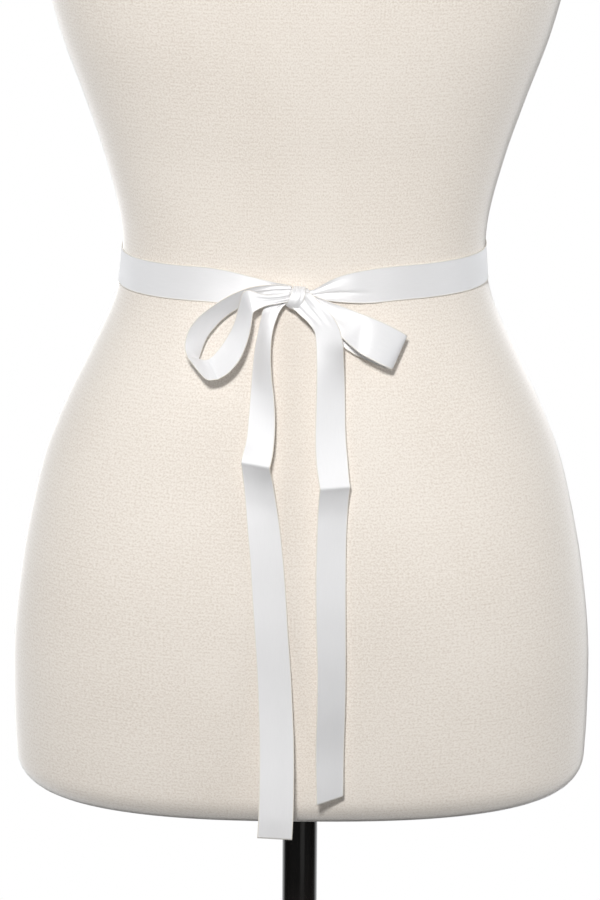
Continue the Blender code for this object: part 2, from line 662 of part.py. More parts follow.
def make_rhinestone_band(material):
    """The band of stones on the front: a backing wall with two rails, and large stones between them."""
    half_length = STONE_PITCH * STONE_COUNT / 2
    columns = round(2 * half_length / BAND_STEP)
    profile = band_profile()
    arcs = [half_length * (2 * column / columns - 1) for column in range(columns + 1)]
    angles = front_angles(arcs)

    def place(along, across):
        height, out = profile[across % len(profile)]
        return on_waist_ribbon(angles[along], height, out)

    mesh = grid_mesh(columns, len(profile), place)
    close_tube(mesh)
    band = add_object("rhinestone_band", mesh, material)

    stones = bmesh.new()
    stone_arcs = [STONE_PITCH * (index - (STONE_COUNT - 1) / 2) for index in range(STONE_COUNT)]
    face = CLOTH_WALL / 2 + SEAM_GAP + BAND_WALL
    for angle in front_angles(stone_arcs):
        seat = on_waist_ribbon(angle, 0.0, face - STONE_SINK)
        outward = on_waist_ribbon(angle, 0.0, face + STONE_HEIGHT) - seat
        turn = outward.to_track_quat("Z", "Y").to_matrix().to_4x4()
        centre = Matrix.Translation(seat + outward / 2)
        bmesh.ops.create_cone(
            stones,
            cap_ends=True,
            segments=STONE_SIDES,
            radius1=STONE_RADIUS,
            radius2=STONE_TOP_RADIUS,
            depth=outward.length,
            matrix=centre @ turn,
        )
    stone_row = add_object("stone_row", stones)
    as_helper(stone_row)
    joined = band.modifiers.new("Stones", "BOOLEAN")
    joined.operation = "UNION"
    joined.solver = "EXACT"
    joined.object = stone_row


def make_belt(satin, crystal):
    cutter = add_object("knot_cutter", knot_mesh(SEAM_GAP, 0.0))
    as_helper(cutter)
    add_object("bow_knot", knot_mesh(0.0, KNOT_PLEAT_DEPTH), satin)
    make_ribbon("waist_ribbon", waist_sections(), satin, cutter)
    make_ribbon("bow_loop_left", table_sections(LOOP_LEFT, 2), satin, cutter)
    make_ribbon("bow_loop_right", table_sections(LOOP_RIGHT, 2), satin, cutter)
    make_ribbon("bow_tail_left", table_sections(TAIL_LEFT, 2), satin, cutter)
    make_ribbon("bow_tail_right", table_sections(TAIL_RIGHT, 2), satin, cutter)
    make_rhinestone_band(crystal)


def main():
    clear_scene()
    linen = finish("cream cover", (0.84, 0.78, 0.69), 0.9)
    satin = finish("white satin", (0.86, 0.86, 0.87), 0.38)
    crystal = finish("clear rhinestone", (0.80, 0.82, 0.85), 0.12)
    black = finish("black lacquer", (0.012, 0.011, 0.010), 0.3, 0.2)
    make_dress_form(linen)
    make_stand(black)
    make_belt(satin, crystal)


main()
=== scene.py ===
import math
from collections import namedtuple

import bmesh
import bpy
from mathutils import Matrix, Vector


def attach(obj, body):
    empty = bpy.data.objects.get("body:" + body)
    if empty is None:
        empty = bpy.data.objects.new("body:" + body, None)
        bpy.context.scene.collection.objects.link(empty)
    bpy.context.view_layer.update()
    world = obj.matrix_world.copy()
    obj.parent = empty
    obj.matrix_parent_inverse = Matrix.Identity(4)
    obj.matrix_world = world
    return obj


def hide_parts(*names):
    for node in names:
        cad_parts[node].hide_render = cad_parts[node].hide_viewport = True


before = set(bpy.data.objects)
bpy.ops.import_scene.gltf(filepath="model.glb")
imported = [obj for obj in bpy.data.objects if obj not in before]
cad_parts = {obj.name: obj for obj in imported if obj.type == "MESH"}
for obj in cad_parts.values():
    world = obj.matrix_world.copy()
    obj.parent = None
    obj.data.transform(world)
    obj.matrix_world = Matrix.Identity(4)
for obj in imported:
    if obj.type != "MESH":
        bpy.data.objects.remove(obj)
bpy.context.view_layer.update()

mm = 0.001
scene = bpy.context.scene


# Shared helpers

def meshData(name, mesh):
    data = bpy.data.meshes.new(name)
    mesh.to_mesh(data)
    mesh.free()
    return data


def addPiece(name, mesh, material, nodes=(), sharpAngle=40):
    data = meshData(name, mesh)
    data.shade_smooth()
    data.set_sharp_from_angle(angle=math.radians(sharpAngle))
    for entry in material if isinstance(material, (list, tuple)) else [material]:
        data.materials.append(entry)
    piece = bpy.data.objects.new(name, data)
    scene.collection.objects.link(piece)
    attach(piece, "root")
    if nodes:
        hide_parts(*nodes)
    return piece


# A grid of cells. Its corners stand at place(along, across), and flat(along, across) is where they lie
# in the flat cloth.
def clothGrid(columns, rows, place, flat):
    mesh = bmesh.new()
    mesh.verts.layers.float.new("hem")
    mesh.verts.layers.deform.verify()
    uvLayer = mesh.loops.layers.uv.new("cloth")
    bmesh.ops.create_grid(mesh, x_segments=columns, y_segments=rows, size=0.5)
    counts = {}
    for corner in mesh.verts:
        along = round((corner.co.x + 0.5) * columns)
        across = round((corner.co.y + 0.5) * rows)
        counts[corner] = (along, across)
        corner.co = place(along, across)
    for face in mesh.faces:
        for loop in face.loops:
            loop[uvLayer].uv = flat(*counts[loop.vert])
    return mesh, counts


def hermite(start, end, startSlope, endSlope, share):
    square = share * share
    cube = square * share
    return (
        (2 * cube - 3 * square + 1) * start
        + (cube - 2 * square + share) * startSlope
        + (3 * square - 2 * cube) * end
        + (cube - square) * endSlope
    )


def smoothStep(low, high, value):
    share = min(1.0, max(0.0, (value - low) / (high - low)))
    return share * share * (3 - 2 * share)


# Node helpers for the materials

def newMaterial(name):
    material = bpy.data.materials.new(name)
    material.use_nodes = True
    tree = material.node_tree
    return material, tree, tree.nodes["Principled BSDF"]


def addNode(tree, kind, inputs=None, **settings):
    made = tree.nodes.new(kind)
    for key, value in settings.items():
        setattr(made, key, value)
    for key, value in (inputs or {}).items():
        if isinstance(value, bpy.types.NodeSocket):
            tree.links.new(value, made.inputs[key])
        else:
            made.inputs[key].default_value = value
    return made


def maths(tree, operation, first, second=0.0):
    return addNode(tree, "ShaderNodeMath", {0: first, 1: second}, operation=operation).outputs[0]


def chain(tree, operation, first, *others):
    for other in others:
        first = maths(tree, operation, first, other)
    return first


def weighted(tree, *terms):
    # the sum of each value times its share
    return chain(tree, "ADD", *[maths(tree, "MULTIPLY", value, share) for value, share in terms])


def mixColours(tree, share, low, high):
    made = addNode(tree, "ShaderNodeMix", {0: share, 6: low, 7: high}, data_type="RGBA")
    return made.outputs[2]


def flatCloth(tree, acrossScale, alongScale):
    # the piece's own cloth map, in millimetres times the scales
    where = addNode(tree, "ShaderNodeUVMap", uv_map="cloth").outputs[0]
    scale = (acrossScale / mm, alongScale / mm, 1.0)
    return addNode(tree, "ShaderNodeMapping", {"Vector": where, "Scale": scale}).outputs[0]


def ramp(tree, value, low, high, toLow=0.0, toHigh=1.0):
    return addNode(tree, "ShaderNodeMapRange", {0: value, 1: low, 2: high, 3: toLow, 4: toHigh}).outputs[0]


def objectPlace(tree):
    return addNode(tree, "ShaderNodeTexCoord").outputs["Object"]


def noise(tree, where, scale=1.0, detail=2.0, roughness=0.5):
    inputs = {"Vector": where, "Scale": scale, "Detail": detail, "Roughness": roughness}
    return addNode(tree, "ShaderNodeTexNoise", inputs).outputs[0]


def clothRows(tree, inputs):
    # soft stripes that lie across the length of the flat cloth
    inputs = {"Vector": flatCloth(tree, 1.0, 1.0), **inputs}
    return addNode(tree, "ShaderNodeTexWave", inputs, bands_direction="Y").outputs["Fac"]


def paint(tree, shader, share, low, high):
    tree.links.new(mixColours(tree, share, low, high), shader.inputs["Base Color"])


def addBump(tree, shader, height, strength, depth):
    bump = addNode(tree, "ShaderNodeBump", {"Height": height, "Strength": strength, "Distance": depth})
    tree.links.new(bump.outputs[0], shader.inputs["Normal"])


# Camera, light and stage

cameraValues = {
    "place": (-0.0017, -2.650, 1.579),
    "down": 13.9,  # degrees below level
    "roll": 0.0070,
    "lens": 168,
}

keyLight = {
    "place": (-0.25, -2.67, 2.35),
    "aim": (0.0, 0.0, 1.0),
    "size": 0.30,
    "power": 68.5,
    "colour": (1.0, 0.99, 0.98),
}

fillLight = {
    "place": (2.5, -1.0, 1.2),
    "aim": (0.0, 0.0, 1.0),
    "size": 1.2,
    "power": 3,
    "colour": (0.98, 0.99, 1.0),
}

frontLight = {
    "place": (0.9, -2.9, 0.9),
    "aim": (0.0, 0.0, 1.2),
    "size": 1.4,
    "power": 3,
    "colour": (1.0, 0.99, 0.97),
}

skyValues = {
    "behind": 1.6,
    "side": 2.9,
    "camera": 0.11,
    "above": 0.02,
    "all": 0.05,
    "colour": (0.98, 0.99, 1.0, 1),
}

floorValues = {
    "radius": 1.55,
    "edge": 0.55,  # where it starts to fade to white
    "haze": 0.35,  # how white it already is there
    "colour": (0.55, 0.55, 0.55, 1),
    "roughness": 0.9,
}


def makeCamera():
    data = bpy.data.cameras.new("photoCamera")
    data.lens = cameraValues["lens"]
    data.sensor_width = 36
    data.clip_end = 60
    camera = bpy.data.objects.new("photoCamera", data)
    scene.collection.objects.link(camera)
    camera.location = cameraValues["place"]
    pitch = Matrix.Rotation(math.radians(90 - cameraValues["down"]), 3, "X")
    roll = Matrix.Rotation(cameraValues["roll"], 3, "Z")
    camera.rotation_euler = (pitch @ roll).to_euler()
    scene.camera = camera


def addSoftbox(name, values):
    data = bpy.data.lights.new(name, "AREA")
    data.energy = values["power"]
    data.size = values["size"]
    data.color = values["colour"]
    lamp = bpy.data.objects.new(name, data)
    lamp.location = values["place"]
    aim = Vector(values["aim"]) - Vector(values["place"])
    lamp.rotation_euler = aim.to_track_quat("-Z", "Y").to_euler()
    scene.collection.objects.link(lamp)


def makeSky():
    # white in every view; its light comes from behind and from both sides, and little of it from above
    world = bpy.data.worlds.new("studio")
    world.use_nodes = True
    scene.world = world
    tree = world.node_tree
    tree.nodes.clear()
    where = addNode(tree, "ShaderNodeTexCoord").outputs["Generated"]
    parts = addNode(tree, "ShaderNodeSeparateXYZ", {0: where}).outputs
    # each ramp reads how far a direction points up, away from the camera or aside
    aside = maths(tree, "ABSOLUTE", parts["X"])
    low = ramp(tree, parts["Z"], 0.15, 0.45, 1.0, 0.0)
    behind = ramp(tree, parts["Y"], 0.30, 0.62, 0.0, skyValues["behind"])
    near = ramp(tree, parts["Y"], -0.1, -0.8, 0.0, skyValues["camera"])
    near = maths(tree, "MULTIPLY", near, ramp(tree, parts["Z"], -0.5, 0.2, 0.1, 1.0))
    side = ramp(tree, aside, 0.70, 0.92, 0.0, skyValues["side"])
    side = chain(tree, "MULTIPLY", side, ramp(tree, parts["Y"], 0.5, 0.1), ramp(tree, parts["Z"], 0.0, 0.3))
    above = ramp(tree, parts["Z"], 0.1, 0.8, 0.0, skyValues["above"])
    level = maths(tree, "MULTIPLY", maths(tree, "ADD", behind, near), low)
    strength = chain(tree, "ADD", level, side, above, skyValues["all"])
    light = addNode(tree, "ShaderNodeBackground", {"Color": skyValues["colour"], "Strength": strength})
    white = addNode(tree, "ShaderNodeBackground", {"Color": (1, 1, 1, 1), "Strength": 1.0})
    seen = addNode(tree, "ShaderNodeLightPath").outputs["Is Camera Ray"]
    both = addNode(tree, "ShaderNodeMixShader", {0: seen, 1: light.outputs[0], 2: white.outputs[0]})
    addNode(tree, "ShaderNodeOutputWorld", {"Surface": both.outputs[0]})


def makeFloor():
    # a round pale floor that fades to white at its edge
    material, tree, shader = newMaterial("paleFloor")
    fromMiddle = addNode(tree, "ShaderNodeVectorMath", {0: objectPlace(tree)}, operation="LENGTH")
    distance = fromMiddle.outputs["Value"]
    radius = floorValues["radius"]
    fade = ramp(tree, distance, floorValues["edge"], radius - 0.05, floorValues["haze"], 1.0)
    shader.inputs["Base Color"].default_value = floorValues["colour"]
    shader.inputs["Roughness"].default_value = floorValues["roughness"]
    seen = addNode(tree, "ShaderNodeLightPath").outputs["Is Camera Ray"]
    white = addNode(tree, "ShaderNodeEmission", {"Strength": seen})
    both = addNode(tree, "ShaderNodeMixShader", {0: fade, 1: shader.outputs[0], 2: white.outputs[0]})
    tree.links.new(both.outputs[0], tree.nodes["Material Output"].inputs["Surface"])
    mesh = bmesh.new()
    bmesh.ops.create_circle(mesh, cap_ends=True, segments=96, radius=radius)
    data = meshData("floor", mesh)
    data.materials.append(material)
    floor = bpy.data.objects.new("floor", data)
    scene.collection.objects.link(floor)


makeCamera()
addSoftbox("keyLight", keyLight)
addSoftbox("fillLight", fillLight)
addSoftbox("frontLight", frontLight)
makeSky()
makeFloor()
scene.view_settings.view_transform = "Standard"
print("camera, lights and stage made")


# Materials

# Each weave gives the cells of one noise to the millimetre, across and along the flat cloth.
satinValues = {
    "colour": (0.905, 0.905, 0.915, 1),
    "thread": (0.875, 0.875, 0.885, 1),
    "selvage": (0.87, 0.84, 0.78, 1),
    "warp": (3.2, 0.10),
    "weft": (0.5, 3.0),
    "cloud": (0.10, 0.05),
    "roughness": 0.62,
    "gloss": 0.34,
    "anisotropy": 0.3,
    "relief": 0.04 * mm,
}

coverValues = {
    "light": (0.920, 0.862, 0.790, 1),
    "dark": (0.757, 0.682, 0.601, 1),
    "grain": (0.72, 0.86),
    "slub": (0.09, 0.6),
    "patches": (0.012, 0.012),
    "rowPitch": 2.6,  # millimetres from one thicker row of the weave to the next
    "sheen": 0.95,
    "roughness": 0.88,
    "relief": 0.16 * mm,
}

blackValues = {
    "colour": (0.003, 0.0025, 0.0022, 1),
    "warm": (0.010, 0.008, 0.007, 1),
    "streak": (260, 260, 14),
    "roughness": 0.12,
    "coat": 0.05,
    "relief": 0.1 * mm,
}

silverValues = {"colour": (0.82, 0.82, 0.84, 1), "worn": (0.70, 0.70, 0.73, 1), "roughness": 0.2}

crystalValues = {"colour": (0.97, 0.98, 1.0, 1), "wiped": (0.93, 0.95, 1.0, 1), "ior": 1.58}

foilValues = {"colour": (0.88, 0.89, 0.92, 1), "roughness": 0.04}

threadValues = {"colour": (0.93, 0.93, 0.93, 1), "twist": (0.76, 0.76, 0.77, 1), "roughness": 0.6}


def makeSatin():
    material, tree, shader = newMaterial("whiteSatin")
    warp = noise(tree, flatCloth(tree, *satinValues["warp"]), detail=3.0)
    weft = noise(tree, flatCloth(tree, *satinValues["weft"]))
    cloudy = noise(tree, flatCloth(tree, *satinValues["cloud"]))
    hem = addNode(tree, "ShaderNodeAttribute", attribute_name="hem").outputs["Fac"]
    field = weighted(tree, (warp, 0.6), (weft, 0.4))
    body = mixColours(tree, ramp(tree, field, 0.32, 0.62), satinValues["thread"], satinValues["colour"])
    paint(tree, shader, hem, body, satinValues["selvage"])
    rough = ramp(tree, cloudy, 0.3, 0.7, satinValues["roughness"] - 0.04, satinValues["roughness"] + 0.05)
    tree.links.new(maths(tree, "ADD", rough, maths(tree, "MULTIPLY", hem, 0.3)), shader.inputs["Roughness"])
    ribs = clothRows(tree, {"Scale": 0.7, "Distortion": 0.4})
    threads = maths(tree, "ADD", field, chain(tree, "MULTIPLY", ribs, hem, 1.5))
    addBump(tree, shader, threads, 0.25, satinValues["relief"])
    tangent = addNode(tree, "ShaderNodeTangent", direction_type="UV_MAP", uv_map="cloth")
    tree.links.new(tangent.outputs[0], shader.inputs["Tangent"])
    shader.inputs["Anisotropic"].default_value = satinValues["anisotropy"]
    shader.inputs["Metallic"].default_value = satinValues["gloss"]
    shader.inputs["Specular IOR Level"].default_value = 0.6
    return material


def makeCover():
    material, tree, shader = newMaterial("creamCover")
    scale = 0.314 / coverValues["rowPitch"]
    rows = clothRows(tree, {"Scale": scale, "Distortion": 2.4, "Detail": 3.0, "Detail Scale": 2.2})
    grain = noise(tree, flatCloth(tree, *coverValues["grain"]), detail=4.0, roughness=0.6)
    slub = noise(tree, flatCloth(tree, *coverValues["slub"]))
    patches = noise(tree, flatCloth(tree, *coverValues["patches"]))
    weave = weighted(tree, (rows, 0.05), (grain, 0.95))
    mixed = weighted(tree, (weave, 0.92), (slub, 0.08))
    toned = maths(tree, "ADD", mixed, maths(tree, "MULTIPLY", maths(tree, "SUBTRACT", patches, 0.5), 0.12))
    paint(tree, shader, ramp(tree, toned, 0.36, 0.58), coverValues["dark"], coverValues["light"])
    addBump(tree, shader, mixed, 0.5, coverValues["relief"])
    shader.inputs["Roughness"].default_value = coverValues["roughness"]
    shader.inputs["Sheen Weight"].default_value = coverValues["sheen"]
    shader.inputs["Sheen Roughness"].default_value = 0.45
    shader.inputs["Specular IOR Level"].default_value = 0.25
    return material


def makeBlack():
    material, tree, shader = newMaterial("glossBlack")
    stretch = {"Vector": objectPlace(tree), "Scale": blackValues["streak"]}
    streaks = noise(tree, addNode(tree, "ShaderNodeMapping", stretch).outputs[0], detail=3.0)
    low = blackValues["roughness"]
    tree.links.new(ramp(tree, streaks, 0.35, 0.65, low, low + 0.10), shader.inputs["Roughness"])
    paint(tree, shader, streaks, blackValues["colour"], blackValues["warm"])
    addBump(tree, shader, streaks, 0.06, blackValues["relief"])
    shader.inputs["Coat Weight"].default_value = blackValues["coat"]
    shader.inputs["Coat Roughness"].default_value = 0.08
    return material


def makeSilver():
    material, tree, shader = newMaterial("silverSetting")
    worn = noise(tree, objectPlace(tree), 900.0, 3.0)
    low = silverValues["roughness"]
    tree.links.new(ramp(tree, worn, 0.3, 0.7, low - 0.06, low + 0.12), shader.inputs["Roughness"])
    paint(tree, shader, worn, silverValues["worn"], silverValues["colour"])
    shader.inputs["Metallic"].default_value = 1.0
    return material


def makeCrystal():
    material, tree, shader = newMaterial("clearCrystal")
    wiped = noise(tree, objectPlace(tree), 420.0)
    tree.links.new(ramp(tree, wiped, 0.45, 0.75, 0.0, 0.05), shader.inputs["Roughness"])
    paint(tree, shader, wiped, crystalValues["wiped"], crystalValues["colour"])
    shader.inputs["IOR"].default_value = crystalValues["ior"]
    shader.inputs["Transmission Weight"].default_value = 1.0
    return material


def makeFoil():
    material, tree, shader = newMaterial("silverFoil")
    wavy = noise(tree, objectPlace(tree), 600.0)
    low = foilValues["roughness"]
    tree.links.new(ramp(tree, wavy, 0.3, 0.7, low, low + 0.10), shader.inputs["Roughness"])
    shader.inputs["Base Color"].default_value = foilValues["colour"]
    shader.inputs["Metallic"].default_value = 1.0
    return material


def makeThread():
    material, tree, shader = newMaterial("sewingThread")
    twist = noise(tree, objectPlace(tree), 2600.0)
    paint(tree, shader, twist, threadValues["twist"], threadValues["colour"])
    shader.inputs["Roughness"].default_value = threadValues["roughness"]
    return material


satin = makeSatin()
cover = makeCover()
black = makeBlack()
silver = makeSilver()
crystal = makeCrystal()
foil = makeFoil()
thread = makeThread()
print("materials made")


# The dress form. Heights are in millimetres above the waist.

formValues = {
    "waistHeight": 1050 * mm,
    "bottom": -348 * mm,
    "bottomRound": 20 * mm,
    "top": 470 * mm,
    "topRound": 5 * mm,
    "segments": 208,
    "ringPitch": 4.0 * mm,
    "edgeSteps": 8,
    "coverGirth": 900 * mm,  # before it is pulled over the form
    "bustHeight": 170 * mm,
    "bustAside": 72 * mm,
    "bustDepth": 24 * mm,
    "bustSpread": 54 * mm,
}

formRing = namedtuple("formRing", "height halfWidth back front squareness")
formRings = [
    formRing(-348, 186.0, 113.0, 103.0, 2.30),
    formRing(-330, 187.0, 117.0, 105.0, 2.30),
    formRing(-300, 188.3, 120.5, 107.0, 2.32),
    formRing(-250, 188.0, 123.5, 110.0, 2.35),
    formRing(-200, 182.5, 124.0, 112.0, 2.35),
    formRing(-160, 175.0, 120.0, 112.0, 2.35),
    formRing(-125, 166.0, 113.5, 110.5, 2.35),
    formRing(-93, 153.0, 106.0, 108.0, 2.40),
    formRing(-60, 137.0, 97.0, 103.0, 2.45),
    formRing(-27, 122.4, 89.0, 97.0, 2.50),
    formRing(0, 116.6, 86.0, 94.0, 2.50),
    formRing(30, 117.8, 86.5, 94.0, 2.50),
    formRing(70, 127.8, 90.0, 97.0, 2.45),
    formRing(103, 138.9, 95.0, 101.0, 2.40),
    formRing(151, 156.0, 102.0, 106.0, 2.40),
    formRing(200, 167.5, 107.0, 105.0, 2.40),
    formRing(240, 170.0, 110.0, 101.0, 2.40),
    formRing(280, 171.0, 110.0, 94.0, 2.40),
    formRing(310, 173.0, 107.0, 85.0, 2.40),
    formRing(332, 172.0, 101.0, 75.0, 2.35),
    formRing(350, 160.0, 93.0, 66.0, 2.25),
    formRing(366, 136.0, 84.0, 60.0, 2.15),
    formRing(382, 108.0, 75.0, 55.0, 2.10),
    formRing(398, 80.0, 67.0, 52.0, 2.05),
    formRing(412, 64.0, 62.0, 51.0, 2.00),
    formRing(430, 56.0, 58.0, 52.0, 2.00),
    formRing(450, 53.0, 56.0, 54.0, 2.00),
    formRing(470, 52.0, 54.0, 55.0, 2.00),
]


def ringSlope(index, column):
    before = formRings[max(index - 1, 0)]
    after = formRings[min(index + 1, len(formRings) - 1)]
    return (after[column] - before[column]) / (after.height - before.height)


def formSize(height):
    # half width, depth to the back, depth to the front and squareness at a height above the waist
    level = min(max(height / mm, formRings[0].height), formRings[-1].height)
    index = 0
    while index < len(formRings) - 2 and formRings[index + 1].height < level:
        index += 1
    low = formRings[index]
    high = formRings[index + 1]
    gap = high.height - low.height
    share = (level - low.height) / gap
    values = []
    for column in range(1, len(low)):
        startSlope = ringSlope(index, column) * gap
        endSlope = ringSlope(index + 1, column) * gap
        values.append(hermite(low[column], high[column], startSlope, endSlope, share))
    halfWidth, back, front, squareness = values
    return halfWidth * mm, back * mm, front * mm, squareness


def bustDepth(x, height):
    spread = formValues["bustSpread"]
    rise = ((height - formValues["bustHeight"]) / spread) ** 2
    left = math.exp(-(((x + formValues["bustAside"]) / spread) ** 2) - rise)
    right = math.exp(-(((x - formValues["bustAside"]) / spread) ** 2) - rise)
    return formValues["bustDepth"] * (left + right)


def formPoint(angle, height, out=0.0, inset=0.0):
    halfWidth, back, front, squareness = formSize(height)
    depth = front if math.sin(angle) > 0 else back
    across = abs(math.cos(angle) / halfWidth) ** squareness
    along = abs(math.sin(angle) / depth) ** squareness
    radius = (across + along) ** (-1 / squareness) - inset
    x = radius * math.cos(angle)
    y = radius * math.sin(angle)
    if y > 0:
        y += bustDepth(x, height) * min(1.0, y / front)
    normal = Vector((
        math.copysign(abs(x / halfWidth) ** (squareness - 1) / halfWidth, x),
        math.copysign(abs(y / depth) ** (squareness - 1) / depth, y),
        0.0,
    )).normalized()
    return Vector((x, y, formValues["waistHeight"] + height)) + normal * out


def backPoint(x, height, out):
    halfWidth, back, _, squareness = formSize(height)
    depth = back * (1 - abs(x / halfWidth) ** squareness) ** (1 / squareness)
    return Vector((x, -depth - out, formValues["waistHeight"] + height))


def formLevels():
    # the height of each ring and how far it is drawn in, round both edges
    steps = formValues["edgeSteps"]
    turns = [math.pi / 2 * step / steps for step in range(steps + 1)]
    bottom = formValues["bottom"]
    low = formValues["bottomRound"]
    high = formValues["topRound"]
    levels = [(bottom + low * (1 - math.cos(turn)), low * (1 - math.sin(turn))) for turn in turns]
    start = levels[-1][0]
    end = formValues["top"] - high
    rings = round((end - start) / formValues["ringPitch"])
    levels += [(start + (end - start) * ring / rings, 0.0) for ring in range(1, rings)]
    levels += [(end + high * math.sin(turn), high * (1 - math.cos(turn))) for turn in turns]
    return levels


def closeTube(mesh):
    bmesh.ops.remove_doubles(mesh, verts=mesh.verts, dist=1e-6)
    openEdges = [edge for edge in mesh.edges if edge.is_boundary]
    bmesh.ops.holes_fill(mesh, edges=openEdges, sides=0)
    bmesh.ops.recalc_face_normals(mesh, faces=mesh.faces)


def makeForm():
    levels = formLevels()
    segments = formValues["segments"]
    def place(along, across):
        height, inset = levels[across]
        return formPoint(2 * math.pi * (along % segments) / segments, height, inset=inset)

    def flat(along, across):
        return formValues["coverGirth"] * along / segments, levels[across][0]

    mesh, _ = clothGrid(segments, len(levels) - 1, place, flat)
    closeTube(mesh)
    addPiece("formCover", mesh, cover, ["dress_form"])


makeForm()
print("dress form made")


# The ribbon. Each rung says, as seen from behind and in millimetres from the middle of the waist, where the
# ribbon's two edges are and how far each stands out from the form, how far its middle bulges and how deep it
# is gathered. The last two are zero where they aren't given.

ribbonValues = {
    "width": 22 * mm,
    "wall": 0.34 * mm,
    "selvageWall": 0.50 * mm,
    "selvage": 0.75 * mm,
    "fieldColumns": 30,
    "rowPitch": 1.3 * mm,
    "hug": 0.45 * mm,  # how far the ribbon round the waist lies from the form
    "tilt": 0.0153,  # of the belt, upwards for each unit to the right
    "aroundSteps": 400,
    "cutEnd": 0.5 * mm,  # how far a tail's cut end is stiffened
    "viewAside": 1.7 * mm,  # the view that the rungs are drawn in leans a little
    "viewLevel": -130 * mm,
    "viewLean": 0.0070,
}

rung = namedtuple("rung", "xA heightA outA xB heightB outB bulge gather", defaults=(0.0, 0.0))

# A crease runs from one place in the flat ribbon to another: along it from its start, or back from its end
# where that is negative, and across it from its first edge. Its depth is positive for a ridge.
crease = namedtuple("crease", "along across toAlong toAcross width depth")

waistLeft = [
    rung(-5.0, 0.8, 3.2, -5.0, -6.4, 3.0, 0.0, 0.3),
    rung(-9.5, 1.6, 3.0, -9.5, -7.2, 2.6, 0.0, 0.3),
    rung(-14.0, 2.4, 2.8, -15.0, -8.8, 2.2, 0.0, 0.25),
    rung(-22.0, 4.0, 2.2, -23.0, -10.8, 1.8, 0.4, 0.1),
    rung(-32.0, 6.2, 1.6, -33.0, -11.8, 1.4, 0.3),
    rung(-44.0, 8.8, 0.8, -44.0, -12.0, 0.8),
    rung(-58.0, 10.4, 0.45, -58.0, -11.6, 0.45),
    rung(-72.0, 10.4, 0.45, -72.0, -11.6, 0.45),
]

waistRight = [
    rung(72.0, 11.6, 0.45, 72.0, -10.4, 0.45),
    rung(58.0, 11.2, 0.45, 58.0, -10.8, 0.45),
    rung(44.0, 10.0, 0.9, 45.0, -11.4, 1.2),
    rung(31.0, 8.0, 2.2, 33.0, -10.8, 2.2, 0.3, 0.05),
    rung(21.0, 4.8, 2.4, 22.0, -9.8, 2.2, 0.4, 0.15),
    rung(14.0, 1.2, 2.8, 15.5, -8.8, 2.4, 0.0, 0.25),
    rung(9.0, -1.6, 3.0, 10.0, -8.0, 2.8, 0.0, 0.3),
    rung(4.0, -2.6, 3.2, 5.0, -7.4, 3.0, 0.0, 0.3),
]

waistCreases = [
    crease(0, 4, 24, 3, 1.3, -0.3),
    crease(0, 10, 38, 9, 1.6, -0.35),
    crease(0, 16, 30, 19, 1.3, -0.25),
    crease(0, 13, 26, 14, 1.4, 0.25),
    crease(-1, 5, -26, 3, 1.2, -0.35),
    crease(-1, 12, -46, 16, 1.2, -0.7),
    crease(-1, 8, -30, 9, 1.5, 0.3),
]

loopLeft = [
    rung(-5.0, -4.2, 8.8, -5.0, 1.6, 9.0, 0.0, 0.35),
    rung(-9.5, -4.9, 8.4, -9.5, 1.9, 8.8, 0.0, 0.3),
    rung(-16.0, -5.6, 7.6, -15.5, 2.2, 8.8, 0.2, 0.2),
    rung(-24.0, -7.4, 6.5, -23.0, 1.9, 9.8, 0.3, 0.1),
    rung(-32.0, -10.6, 5.2, -32.2, 0.6, 12.8, 0.5, 0.1),
    rung(-39.4, -14.1, 6.0, -43.0, -3.5, 15.8, 0.3),
    rung(-46.9, -19.3, 6.6, -54.0, -10.1, 19.4, 0.5),
    rung(-53.4, -26.0, 6.8, -63.5, -17.9, 20.8, 0.5),
    rung(-58.3, -32.9, 6.6, -69.8, -27.5, 21.0, 0.4),
    rung(-61.1, -39.7, 6.2, -71.4, -35.4, 20.8, 0.2),
    rung(-62.5, -44.1, 5.4, -70.7, -39.4, 20.4),
    rung(-62.7, -45.1, 5.0, -70.0, -41.0, 20.3),
    rung(-62.8, -45.8, 4.6, -69.6, -42.1, 20.2),
    rung(-62.3, -45.8, 5.0, -68.2, -43.7, 20.3),
    rung(-60.9, -45.8, 6.4, -64.1, -48.6, 20.4),
    rung(-58.8, -45.3, 8.4, -56.9, -54.8, 20.6),
    rung(-57.0, -44.5, 10.0, -51.4, -54.2, 20.5),
    rung(-56.7, -44.4, 10.3, -50.4, -54.1, 20.4),
    rung(-56.2, -43.9, 10.6, -49.6, -53.5, 20.8),
    rung(-54.1, -42.2, 11.0, -45.7, -51.2, 21.0),
    rung(-51.3, -39.5, 8.6, -41.1, -47.0, 20.4),
    rung(-48.1, -36.1, 5.4, -36.5, -40.9, 19.5, 0.3),
    rung(-44.8, -31.1, 3.8, -33.6, -34.3, 18.8, 0.6),
    rung(-42.0, -25.7, 5.0, -31.6, -28.4, 18.2, 0.8),
    rung(-39.4, -18.0, 7.2, -30.1, -21.9, 17.2, 0.8),
    rung(-37.1, -8.5, 10.4, -29.4, -17.2, 16.0, 0.5),
    rung(-34.6, -1.7, 12.4, -29.0, -14.9, 15.4, 0.2),
    rung(-31.9, -0.5, 12.8, -28.4, -13.7, 15.2),
    rung(-29.6, -1.0, 12.8, -27.0, -12.9, 14.7, 0.2),
    rung(-25.4, -2.3, 12.6, -24.4, -11.5, 14.0, 0.6, 0.1),
    rung(-20.5, -3.4, 12.2, -20.2, -10.1, 13.2, 0.8, 0.15),
    rung(-15.5, -3.6, 11.6, -15.5, -9.4, 12.2, 0.7, 0.25),
    rung(-10.5, -3.0, 11.0, -10.5, -8.7, 11.2, 0.4, 0.35),
    rung(-5.6, -2.2, 10.4, -5.6, -7.9, 10.4, 0.0, 0.4),
]

